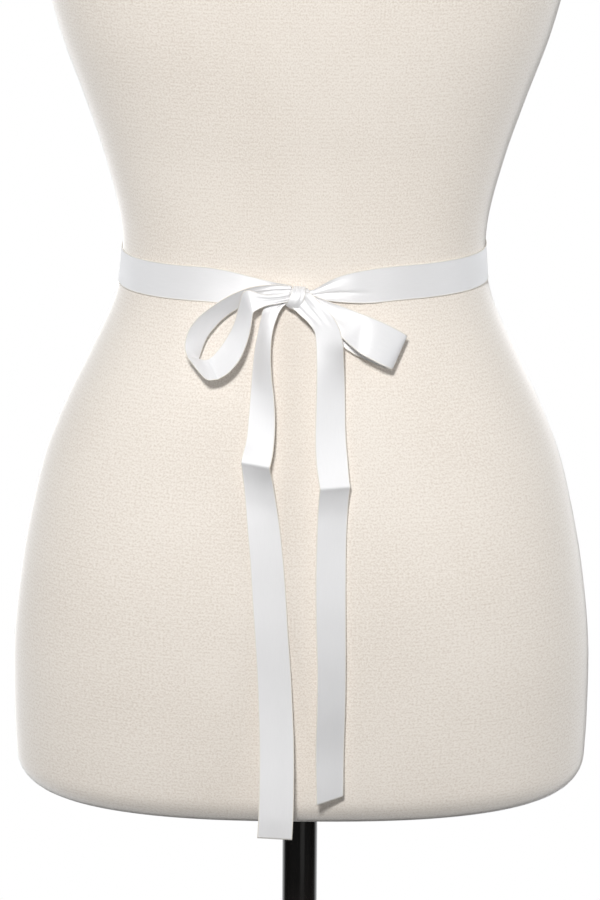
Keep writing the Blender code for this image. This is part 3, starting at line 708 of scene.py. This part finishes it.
loopLeftCreases = [
    crease(0, 6, 30, 8, 1.3, -0.4),
    crease(0, 15, 34, 13, 1.3, -0.5),
    crease(-1, 6, -26, 5, 1.3, -0.4),
    crease(-1, 13, -22, 13, 1.3, 0.4),
]

loopRight = [
    rung(4.0, -4.0, 6.0, 1.5, -8.0, 6.0, 0.0, 0.3),
    rung(8.4, -5.6, 6.2, 4.5, -10.6, 5.6, 0.0, 0.3),
    rung(15.0, -8.6, 6.0, 8.4, -18.0, 5.2, 0.0, 0.3),
    rung(25.0, -12.6, 5.2, 16.5, -27.5, 4.6, 0.0, 0.2),
    rung(37.0, -17.8, 5.0, 27.2, -37.4, 4.6),
    rung(50.0, -25.2, 6.5, 40.2, -44.8, 6.0),
    rung(60.0, -29.6, 8.5, 50.4, -49.0, 8.0),
    rung(65.2, -30.9, 10.2, 55.6, -50.6, 9.6),
    rung(66.8, -30.3, 12.4, 57.4, -50.2, 12.4),
    rung(66.3, -29.0, 14.2, 57.0, -49.0, 15.6),
    rung(64.4, -27.6, 15.0, 55.0, -47.8, 17.8),
    rung(54.0, -21.4, 16.2, 45.0, -42.2, 20.6, 0.2),
    rung(44.6, -17.0, 16.4, 36.2, -37.3, 19.4),
    rung(42.2, -16.0, 16.3, 33.8, -35.6, 17.6),
    rung(39.6, -15.1, 15.6, 31.0, -33.8, 15.0),
    rung(28.6, -11.2, 12.6, 21.5, -25.6, 10.8, 0.2, 0.1),
    rung(18.0, -8.0, 9.8, 12.5, -17.5, 9.4, 0.0, 0.3),
    rung(9.5, -4.8, 8.8, 5.5, -11.2, 8.8, 0.0, 0.3),
    rung(4.0, -3.5, 8.4, 1.5, -8.0, 8.4, 0.0, 0.3),
]

loopRightCreases = [
    crease(0, 7, 26, 6, 1.3, -0.4),
    crease(0, 15, 24, 16, 1.3, -0.4),
    crease(-1, 7, -30, 6, 1.4, -0.5),
    crease(-1, 14, -24, 15, 1.4, -0.5),
]

tailLeft = [
    rung(-7.5, -5.6, 7.2, -2.5, -6.8, 7.4, 0.0, 0.1),
    rung(-9.9, -7.7, 7.6, -4.0, -8.6, 7.8, 0.0, 0.2),
    rung(-16.8, -9.5, 8.2, -8.4, -9.9, 8.4, 0.3, 0.2),
    rung(-22.0, -12.5, 8.4, -11.6, -12.9, 9.8, 0.8, 0.1),
    rung(-23.9, -18.6, 8.0, -14.6, -19.0, 11.2, 1.0),
    rung(-26.0, -28.4, 7.0, -17.2, -29.4, 12.2, 0.8),
    rung(-28.0, -38.8, 5.2, -17.9, -40.8, 12.2, 0.4),
    rung(-29.4, -51.2, 3.8, -17.4, -52.8, 11.8),
    rung(-30.6, -65.4, 3.2, -15.9, -66.6, 11.4, -0.2),
    rung(-31.8, -79.6, 3.4, -15.2, -80.4, 11.0, -0.2),
    rung(-33.2, -92.9, 4.8, -15.8, -93.2, 12.0),
    rung(-36.0, -103.6, 9.0, -17.8, -105.4, 14.4),
    rung(-36.4, -105.6, 9.6, -18.4, -107.6, 14.8),
    rung(-36.2, -107.6, 8.8, -18.2, -109.6, 13.4),
    rung(-35.2, -117.0, 5.8, -16.6, -118.0, 8.4),
    rung(-34.0, -130.0, 3.4, -14.6, -131.0, 4.6),
    rung(-32.8, -147.0, 2.2, -12.2, -148.0, 2.4),
    rung(-31.2, -166.0, 1.4, -10.2, -167.0, 1.4),
    rung(-29.8, -190.0, 1.0, -8.5, -190.0, 1.0),
    rung(-28.2, -215.0, 2.4, -7.0, -216.0, 2.4),
    rung(-26.8, -240.0, 4.4, -5.4, -240.0, 4.4),
    rung(-26.0, -262.0, 6.8, -4.4, -262.0, 6.8),
    rung(-25.4, -285.0, 10.4, -3.6, -285.0, 10.4),
    rung(-25.5, -310.0, 15.4, -3.6, -310.0, 15.4),
    rung(-26.0, -330.0, 20.2, -4.0, -330.0, 20.2),
    rung(-26.8, -345.0, 24.2, -4.8, -346.0, 24.6),
]

tailLeftCreases = [
    crease(0, 7, 22, 8, 1.4, -0.4),
    crease(0, 15, 20, 14, 1.4, -0.4),
]

tailRight = [
    rung(-4.0, -5.5, 9.5, 4.0, -2.0, 10.0, 0.0, 0.2),
    rung(-5.4, -9.4, 11.0, 6.8, -2.4, 12.0, 0.0, 0.3),
    rung(-1.2, -14.5, 13.0, 13.4, -8.8, 14.2, 0.0, 0.3),
    rung(5.0, -20.0, 14.0, 20.0, -15.5, 15.0, 0.6, 0.2),
    rung(9.0, -25.5, 14.3, 24.2, -22.8, 14.6, 0.8),
    rung(10.1, -33.0, 14.2, 26.8, -33.0, 13.4, 0.8),
    rung(10.4, -43.0, 13.8, 27.4, -43.0, 10.6, 0.5),
    rung(10.4, -57.0, 13.2, 28.0, -57.0, 6.8, 0.2),
    rung(10.0, -75.0, 12.6, 28.4, -75.0, 4.4),
    rung(9.6, -90.0, 12.6, 28.7, -90.0, 4.0),
    rung(10.3, -106.0, 13.8, 30.0, -106.0, 6.0),
    rung(12.0, -117.5, 15.6, 31.1, -117.8, 9.0),
    rung(12.4, -120.0, 16.2, 31.5, -120.4, 9.6),
    rung(12.2, -122.6, 15.2, 31.1, -123.0, 8.4),
    rung(11.2, -135.0, 11.8, 30.0, -136.0, 4.4),
    rung(10.6, -150.0, 10.6, 29.2, -151.0, 3.2),
    rung(10.0, -175.0, 10.4, 28.8, -176.0, 3.4),
    rung(10.2, -207.0, 11.4, 28.8, -207.0, 4.8),
    rung(10.9, -235.0, 12.6, 28.9, -235.0, 6.0),
    rung(10.7, -262.0, 12.8, 28.6, -262.0, 6.2),
    rung(10.0, -291.0, 12.0, 27.8, -292.0, 5.6),
    rung(10.6, -325.0, 15.0, 27.5, -321.0, 8.4),
]

tailRightCreases = [
    crease(2, 13, 26, 9, 1.5, -0.9),
    crease(2, 17, 24, 15, 1.5, 0.5),
    crease(0, 5, 20, 4, 1.4, -0.4),
]

section = namedtuple("section", "edgeA edgeB bulge gather")


def seenPoint(x, height, out):
    # the point that stands at x and height in the leaning view that the rungs are drawn in
    levelX = x - ribbonValues["viewAside"] - ribbonValues["viewLean"] * (height - ribbonValues["viewLevel"])
    return backPoint(levelX, height + ribbonValues["viewLean"] * x, out)


def rungGap(low, high):
    return (math.dist(low[0:3], high[0:3]) + math.dist(low[3:6], high[3:6])) / 2


def rungSlopes(rungs, index):
    # how fast each value changes at a rung, for a millimetre along the ribbon
    before = rungs[max(index - 1, 0)]
    here = rungs[index]
    after = rungs[min(index + 1, len(rungs) - 1)]
    gapBefore = rungGap(before, here)
    gapAfter = rungGap(here, after)
    share = gapBefore / (gapBefore + gapAfter)
    slopes = []
    for low, middle, high in zip(before, here, after):
        slopeBefore = (middle - low) / gapBefore if gapBefore else 0.0
        slopeAfter = (high - middle) / gapAfter if gapAfter else 0.0
        if gapBefore and gapAfter:
            slopes.append(slopeBefore * (1 - share) + slopeAfter * share)
        else:
            slopes.append(slopeBefore + slopeAfter)  # an end has only one of the two
    return slopes


def rungSections(rungs):
    # sections on smooth curves through the rungs, about one row pitch apart
    sections = []
    last = len(rungs) - 1
    for index in range(last):
        low = rungs[index]
        high = rungs[index + 1]
        gap = rungGap(low, high)
        slopesLow = rungSlopes(rungs, index)
        slopesHigh = rungSlopes(rungs, index + 1)
        longer = max(math.dist(low[0:3], high[0:3]), math.dist(low[3:6], high[3:6]))
        steps = max(2, math.ceil(longer * mm / ribbonValues["rowPitch"]))
        for step in range(steps + (index == last - 1)):
            values = []
            for column in range(len(low)):
                startSlope = slopesLow[column] * gap
                endSlope = slopesHigh[column] * gap
                values.append(hermite(low[column], high[column], startSlope, endSlope, step / steps) * mm)
            row = rung(*values)
            edgeA = seenPoint(row.xA, row.heightA, row.outA)
            edgeB = seenPoint(row.xB, row.heightB, row.outB)
            sections.append(section(edgeA, edgeB, row.bulge, row.gather))
    return sections


def waistEdges(angle):
    level = ribbonValues["tilt"] * formPoint(angle, 0.0).x
    half = ribbonValues["width"] / 2
    hug = ribbonValues["hug"]
    return formPoint(angle, level + half, hug), formPoint(angle, level - half, hug)


def onWaistRibbon(angle, height, out):
    upper, lower = waistEdges(angle)
    normal = formPoint(angle, 0.0, 1.0) - formPoint(angle, 0.0)
    return (upper + lower) / 2 + (upper - lower).normalized() * height + normal * out


def rungAngle(row):
    point = seenPoint(row.xA * mm, row.heightA * mm, row.outA * mm)
    return math.atan2(point.y, point.x) % (2 * math.pi)


def waistSections():
    steps = ribbonValues["aroundSteps"]
    left = rungSections(waistLeft)
    right = rungSections(waistRight)
    start = rungAngle(waistLeft[-1])
    end = rungAngle(waistRight[0]) - 2 * math.pi
    around = []
    for step in range(1, steps):
        upper, lower = waistEdges(start + (end - start) * step / steps)
        around.append(section(upper, lower, 0.0, 0.0))
    return left + around + right


def acrossShares():
    # the columns of corners across the ribbon, closer together in its two selvages
    edge = ribbonValues["selvage"] / ribbonValues["width"]
    columns = ribbonValues["fieldColumns"]
    field = [edge + (1 - 2 * edge) * column / columns for column in range(columns + 1)]
    return [0.0, edge / 2] + field + [1 - edge / 2, 1.0]


def creaseDepth(creases, along, across, length):
    depth = 0.0
    for line in creases:
        start = Vector((line.along if line.along >= 0 else length + line.along, line.across))
        end = Vector((line.toAlong if line.toAlong >= 0 else length + line.toAlong, line.toAcross))
        way = end - start
        share = min(1.0, max(0.0, (Vector((along, across)) - start).dot(way) / way.length_squared))
        near = start + way * share
        distance = (Vector((along, across)) - near).length / line.width
        if distance < 3:  # beyond this it is too shallow to count, and along itself it fades out
            depth += line.depth * math.exp(-distance * distance) * (1 - smoothStep(0.35, 1.0, share))
    return depth


def makeRibbon(name, sections, creases, nodes=(), cutEnd=False):
    middles = [(row.edgeA + row.edgeB) / 2 for row in sections]
    lengths = [0.0]
    for index in range(1, len(middles)):
        lengths.append(lengths[-1] + (middles[index] - middles[index - 1]).length)
    shares = acrossShares()
    last = len(sections) - 1
    width = ribbonValues["width"]

    def place(along, across):
        row = sections[along]
        share = shares[across]
        tangent = middles[min(along + 1, last)] - middles[max(along - 1, 0)]
        normal = tangent.cross(row.edgeB - row.edgeA).normalized()
        bulge = row.bulge * 4 * share * (1 - share)
        # two uneven waves across the ribbon, as deep as it is gathered there
        waves = 0.6 * math.cos(4 * math.pi * share + 0.6) + 0.4 * math.cos(7 * math.pi * share)
        depth = creaseDepth(creases, lengths[along] / mm, share * width / mm, lengths[-1] / mm) * mm
        return row.edgeA.lerp(row.edgeB, share) + normal * (bulge + row.gather * waves + depth)

    def flat(along, across):
        return shares[across] * width, lengths[along]

    mesh, counts = clothGrid(last, len(shares) - 1, place, flat)
    hemLayer = mesh.verts.layers.float["hem"]
    groupLayer = mesh.verts.layers.deform.verify()
    field = ribbonValues["wall"] / ribbonValues["selvageWall"]
    for corner, (along, across) in counts.items():
        fromEdge = min(across, len(shares) - 1 - across)
        fromEnd = lengths[-1] - lengths[along]
        inHem = fromEdge < 2 or (cutEnd and fromEnd < ribbonValues["cutEnd"])
        corner[hemLayer] = 1.0 if inHem else 0.0
        corner[groupLayer][0] = 1.0 if inHem else field
    ribbon = addPiece(name, mesh, satin, nodes)
    ribbon.vertex_groups.new(name="wall")
    wall = ribbon.modifiers.new("wall", "SOLIDIFY")
    wall.thickness = ribbonValues["selvageWall"]
    wall.offset = 0.0
    wall.vertex_group = "wall"
    wall.use_rim = True
    print(name, "is", round(lengths[-1] / mm), "mm long")
    return ribbon


waist = makeRibbon("waistRibbon", waistSections(), waistCreases, ["waist_ribbon"])
leftLoop = makeRibbon("leftLoop", rungSections(loopLeft), loopLeftCreases, ["bow_loop_left"])
rightLoop = makeRibbon("rightLoop", rungSections(loopRight), loopRightCreases, ["bow_loop_right"])
leftTail = makeRibbon("leftTail", rungSections(tailLeft), tailLeftCreases, ["bow_tail_left"], True)
rightTail = makeRibbon("rightTail", rungSections(tailRight), tailRightCreases, ["bow_tail_right"], True)
print("ribbon made")


# The knot: the rounded layers inside it, and the turn of ribbon that wraps them

knotValues = {
    "x": -0.5 * mm,
    "height": -5.0 * mm,
    "halfWidth": 7.2 * mm,
    "halfHeight": 5.8 * mm,
    "halfDepth": 5.4 * mm,
    "out": 6.5 * mm,
    "squareness": 2.7,
    "pleats": 5,
    "pleatDepth": 0.10,
    "segments": 96,
}

wrapRungs = [
    rung(-3.2, -0.6, 3.0, 3.6, -1.0, 3.0),
    rung(-3.6, 0.9, 6.4, 3.8, 0.6, 6.4, 0.2),
    rung(-4.2, 0.2, 10.0, 3.6, -0.4, 9.8, 0.5),
    rung(-5.4, -3.0, 12.4, 3.0, -4.0, 12.0, 0.8),
    rung(-7.2, -7.0, 13.0, 1.6, -8.8, 12.4, 0.9),
    rung(-8.6, -10.0, 11.2, -0.8, -13.0, 11.0, 0.6),
    rung(-8.6, -10.8, 8.4, -1.6, -14.2, 8.4, 0.2),
    rung(-8.0, -9.8, 5.0, -1.6, -12.8, 5.0),
]

wrapCreases = [
    crease(2, 3, 15, 5, 1.6, -0.45),
    crease(1, 8, 20, 9, 1.6, -0.5),
    crease(4, 13, 17, 11, 1.8, -0.4),
    crease(2, 18, 24, 16, 2.0, -0.5),
]


def makeKnot():
    mesh = bmesh.new()
    mesh.verts.layers.float.new("hem")
    uvLayer = mesh.loops.layers.uv.new("cloth")
    polesAside = Matrix.Rotation(math.pi / 2, 4, "Y")
    count = knotValues["segments"]
    bmesh.ops.create_uvsphere(mesh, u_segments=count, v_segments=count, radius=1.0, matrix=polesAside)
    squareness = knotValues["squareness"]
    middle = seenPoint(knotValues["x"], knotValues["height"], knotValues["out"])
    for corner in mesh.verts:
        along = corner.co.x
        ring = math.sqrt(max(0.0, 1 - along * along))
        girth = (1 - min(1.0, abs(along)) ** squareness) ** (1 / squareness)
        wave = math.cos(math.pi * knotValues["pleats"] * along)
        swell = girth * (1 - knotValues["pleatDepth"] * (0.5 - 0.5 * wave))
        scale = swell / ring if ring > 1e-6 else 0.0
        corner.co = middle + Vector((
            knotValues["halfWidth"] * along,
            knotValues["halfDepth"] * corner.co.y * scale,
            knotValues["halfHeight"] * corner.co.z * scale,
        ))
    for face in mesh.faces:
        for loop in face.loops:
            offset = loop.vert.co - middle
            loop[uvLayer].uv = (offset.x + ribbonValues["width"] / 2, offset.z)
    addPiece("knotCore", mesh, satin, ["bow_knot"])


makeKnot()
wrap = makeRibbon("knotWrap", rungSections(wrapRungs), wrapCreases)
print("knot made")


# The band of rhinestones on the front

bandValues = {
    "stones": 23,
    "pitch": 11.5 * mm,
    "seat": 2.6 * mm,  # out from the middle of the ribbon's wall to the stones' widest ring
    "smallPitch": 3.79 * mm,
    "smallHeight": 7.6 * mm,
    "smallSink": 0.3 * mm,  # how much deeper the small stones are seated
}

largeStone = {"radius": 4.7 * mm, "crown": 1.9 * mm, "pavilion": 1.5 * mm, "sides": 8}
smallStone = {"radius": 1.5 * mm, "crown": 0.8 * mm, "pavilion": 0.7 * mm, "sides": 6}
largeCup = {"depth": 1.3 * mm, "lip": 0.35 * mm, "segments": 28, "prongs": 4}
smallCup = {"depth": 0.75 * mm, "lip": 0.16 * mm, "segments": 12}
prongValues = {"halfSize": (0.42 * mm, 0.55 * mm, 1.25 * mm), "lean": 38}

stitchValues = {
    "halfSize": (0.16 * mm, 0.95 * mm, 0.62 * mm),
    "pitch": 4.2 * mm,
    "out": 0.55 * mm,
    "lean": 28,
    "uneven": 9,
}

backingValues = {
    "half": 10.0 * mm,
    "wall": 1.2 * mm,
    "round": 0.45,  # of its edges, as a share of its wall
    "gap": 0.05 * mm,  # between it and the ribbon
    "columns": 190,
    "edgeSteps": 4,
}


def frontAngles(arcs):
    # the angles of points at these lengths along the waist from the middle of the front
    step = math.radians(0.1)
    angle = math.pi / 2
    lengths = [0.0]
    point = formPoint(angle, 0.0, ribbonValues["hug"])
    while lengths[-1] < max(abs(arc) for arc in arcs):
        angle -= step
        following = formPoint(angle, 0.0, ribbonValues["hug"])
        lengths.append(lengths[-1] + (following - point).length)
        point = following
    angles = []
    for arc in arcs:
        index = 0
        while lengths[index + 1] < abs(arc) and index < len(lengths) - 2:
            index += 1
        share = (abs(arc) - lengths[index]) / (lengths[index + 1] - lengths[index])
        angles.append(math.pi / 2 - math.copysign(step * (index + share), arc))
    return angles


def bandSites(count, pitch, height, out):
    # a place for each of a row of stones: Z points out of the cloth, Y up it
    arcs = [pitch * (index - (count - 1) / 2) for index in range(count)]
    sites = []
    for angle in frontAngles(arcs):
        centre = onWaistRibbon(angle, height, out)
        outward = (onWaistRibbon(angle, height, out + mm) - centre).normalized()
        upward = (onWaistRibbon(angle, height + mm, out) - centre).normalized()
        aside = upward.cross(outward).normalized()
        turn = Matrix((aside, outward.cross(aside), outward)).transposed().to_4x4()
        sites.append(Matrix.Translation(centre) @ turn)
    return sites


# The stones and their cups are made once, round the Z axis, and set out as copies

def setOut(name, unit, sites, material, nodes=(), sharpAngle=40):
    mesh = bmesh.new()
    for site in sites:
        copy = unit.copy()
        copy.transform(site)
        mesh.from_mesh(copy)
        bpy.data.meshes.remove(copy)
    bpy.data.meshes.remove(unit)
    addPiece(name, mesh, material, nodes, sharpAngle)


def addRing(mesh, segments, radius, height, turn=0.0):
    place = Matrix.Translation((0, 0, height)) @ Matrix.Rotation(turn, 4, "Z")
    return bmesh.ops.create_circle(mesh, segments=segments, radius=radius, matrix=place)["verts"]


def stoneUnit(radius, crown, pavilion, sides):
    # a brilliant cut as the hull of its rings of corners; the faces below its widest ring are foiled
    mesh = bmesh.new()
    half = math.pi / sides
    corners = addRing(mesh, sides, radius * 0.56, crown)
    corners += addRing(mesh, sides, radius * 0.82, crown * 0.56, half)
    corners += addRing(mesh, sides * 2, radius, 0.06 * crown, half / 2)
    corners += addRing(mesh, sides * 2, radius, -0.06 * crown, half / 2)
    corners += addRing(mesh, sides, radius * 0.52, -pavilion * 0.55, half)
    corners += addRing(mesh, 3, radius * 0.04, -pavilion)
    made = bmesh.ops.convex_hull(mesh, input=corners)
    for face in mesh.faces:
        face.material_index = 1 if face.calc_center_median().z < -0.08 * crown else 0
    bmesh.ops.delete(mesh, geom=made["geom_interior"], context="VERTS")
    return meshData("unit", mesh)


def spinProfile(mesh, profile, segments):
    corners = [mesh.verts.new((across, 0, height)) for across, height in profile]
    edges = [mesh.edges.new(pair) for pair in zip(corners, corners[1:])]
    turn = {"axis": (0, 0, 1), "angle": 2 * math.pi, "steps": segments}
    bmesh.ops.spin(mesh, geom=corners + edges, cent=(0, 0, 0), use_merge=True, **turn)


def cupUnit(radius, depth, lip, segments, prongs=0):
    # an open metal cup, spun from its profile, with prongs over the stone's edge
    mesh = bmesh.new()
    profile = [(radius * 0.55, -depth), (radius * 0.95, -depth * 0.9), (radius + lip, 0.0)]
    profile += [(radius + lip * 0.4, lip), (radius + lip * 0.1, lip * 0.4), (radius * 0.86, -depth * 0.7)]
    spinProfile(mesh, profile, segments)
    bmesh.ops.recalc_face_normals(mesh, faces=mesh.faces)
    lean = Matrix.Rotation(math.radians(-prongValues["lean"]), 4, "Y")
    shape = Matrix.Diagonal((*prongValues["halfSize"], 1.0))
    for index in range(prongs):
        aside = Matrix.Rotation(2 * math.pi * (index + 0.5) / prongs, 4, "Z")
        place = aside @ Matrix.Translation((radius, 0, lip)) @ lean @ shape
        bmesh.ops.create_uvsphere(mesh, u_segments=10, v_segments=8, radius=1.0, matrix=place)
    return meshData("unit", mesh)


def makeBacking():
    # the stiff strip, covered with satin, that the stones are set on
    half = bandValues["stones"] * bandValues["pitch"] / 2
    columns = backingValues["columns"]
    arcs = [half * (2 * column / columns - 1) for column in range(columns + 1)]
    angles = frontAngles(arcs)
    inner = ribbonValues["selvageWall"] / 2 + backingValues["gap"]
    outer = inner + backingValues["wall"]
    top = backingValues["half"]
    corner = backingValues["wall"] * backingValues["round"]
    steps = backingValues["edgeSteps"]
    profile = [(top, inner)]
    for step in range(steps + 1):
        turn = math.pi / 2 * step / steps
        profile.append((top - corner * (1 - math.cos(turn)), outer - corner * (1 - math.sin(turn))))
    edge = list(reversed(profile))
    profile += [(top * share, outer) for share in (0.6, 0.2, -0.2, -0.6)]
    profile += [(-height, out) for height, out in edge]
    count = len(profile)

    def place(along, across):
        height, out = profile[across % count]
        # a little narrower over the last columns at each end
        drawnIn = 1 - 0.03 * (1 - smoothStep(0, 4, min(along, columns - along)))
        return onWaistRibbon(angles[along], height * drawnIn, out)

    def flat(along, across):
        return profile[across % count][0] + ribbonValues["width"] / 2, arcs[along]

    mesh, _ = clothGrid(columns, count, place, flat)
    closeTube(mesh)
    addPiece("bandBacking", mesh, satin, ())


def makeStones():
    sites = bandSites(bandValues["stones"], bandValues["pitch"], 0.0, bandValues["seat"])
    setOut("largeStones", stoneUnit(**largeStone), sites, [crystal, foil], (), sharpAngle=1)
    setOut("largeCups", cupUnit(largeStone["radius"], **largeCup), sites, silver, ["rhinestone_band"])
    length = bandValues["stones"] * bandValues["pitch"]
    count = math.floor(length / bandValues["smallPitch"])
    seat = bandValues["seat"] - bandValues["smallSink"]
    sites = []
    for height in (bandValues["smallHeight"], -bandValues["smallHeight"]):
        sites += bandSites(count, bandValues["smallPitch"], height, seat)
    setOut("smallStones", stoneUnit(**smallStone), sites, [crystal, foil], (), sharpAngle=1)
    setOut("smallCups", cupUnit(smallStone["radius"], **smallCup), sites, silver)


def makeStitches():
    mesh = bmesh.new()
    shape = Matrix.Diagonal((*stitchValues["halfSize"], 1.0))
    bmesh.ops.create_uvsphere(mesh, u_segments=8, v_segments=8, radius=1.0, matrix=shape)
    length = bandValues["stones"] * bandValues["pitch"]
    count = math.floor(length / stitchValues["pitch"])
    out = ribbonValues["wall"] / 2 + stitchValues["out"]
    sites = []
    for side in (1, -1):
        row = bandSites(count, stitchValues["pitch"], side * backingValues["half"], out)
        for index, site in enumerate(row):
            # sewn by hand, so no two lean quite alike
            lean = side * math.radians(stitchValues["lean"] + stitchValues["uneven"] * math.sin(index * 2.3))
            sites.append(site @ Matrix.Rotation(lean, 4, "Z"))
    setOut("bandStitches", meshData("unit", mesh), sites, thread)


makeBacking()
makeStones()
makeStitches()
print("rhinestone band made")


# The stand

standValues = {
    "poleRadius": 11.6 * mm,
    "poleEdge": 0.8 * mm,
    "baseRadius": 200 * mm,
    "baseThickness": 12 * mm,
    "baseEdge": 3 * mm,
    "collarRadius": 29 * mm,
    "collarHeight": 26 * mm,
    "collarEdge": 2.5 * mm,
    "gap": 0.3 * mm,
    "segments": 128,
    "sharpAngle": 50,
}


def turnedPiece(name, profile, node, edge, edgeSteps):
    mesh = bmesh.new()
    spinProfile(mesh, profile, standValues["segments"])
    bmesh.ops.remove_doubles(mesh, verts=mesh.verts, dist=1e-6)
    bmesh.ops.recalc_face_normals(mesh, faces=mesh.faces)
    limit = math.radians(standValues["sharpAngle"])
    sharp = [line for line in mesh.edges if line.is_manifold and line.calc_face_angle() > limit]
    rounding = {"offset": edge, "segments": edgeSteps, "profile": 0.5}
    bmesh.ops.bevel(mesh, geom=sharp, affect="EDGES", material=-1, clamp_overlap=True, **rounding)
    addPiece(name, mesh, black, [node], standValues["sharpAngle"])


def makeStand():
    radius = standValues["baseRadius"]
    top = standValues["baseThickness"]
    plate = [(0, 0), (radius, 0), (radius, top), (0, top)]
    turnedPiece("standBase", plate, "stand_base", standValues["baseEdge"], 6)
    foot = top + standValues["gap"]
    crown = foot + standValues["collarHeight"]
    bore = standValues["poleRadius"] + standValues["gap"]
    outer = standValues["collarRadius"]
    ring = [(bore, foot), (outer, foot), (outer, crown), (bore, crown), (bore, foot)]
    turnedPiece("standCollar", ring, "stand_collar", standValues["collarEdge"], 6)
    poleTop = formValues["waistHeight"] + formValues["bottom"] - standValues["gap"]
    pole = standValues["poleRadius"]
    stem = [(0, foot), (pole, foot), (pole, poleTop), (0, poleTop)]
    turnedPiece("standPole", stem, "stand_pole", standValues["poleEdge"], 3)


makeStand()
print("stand made")
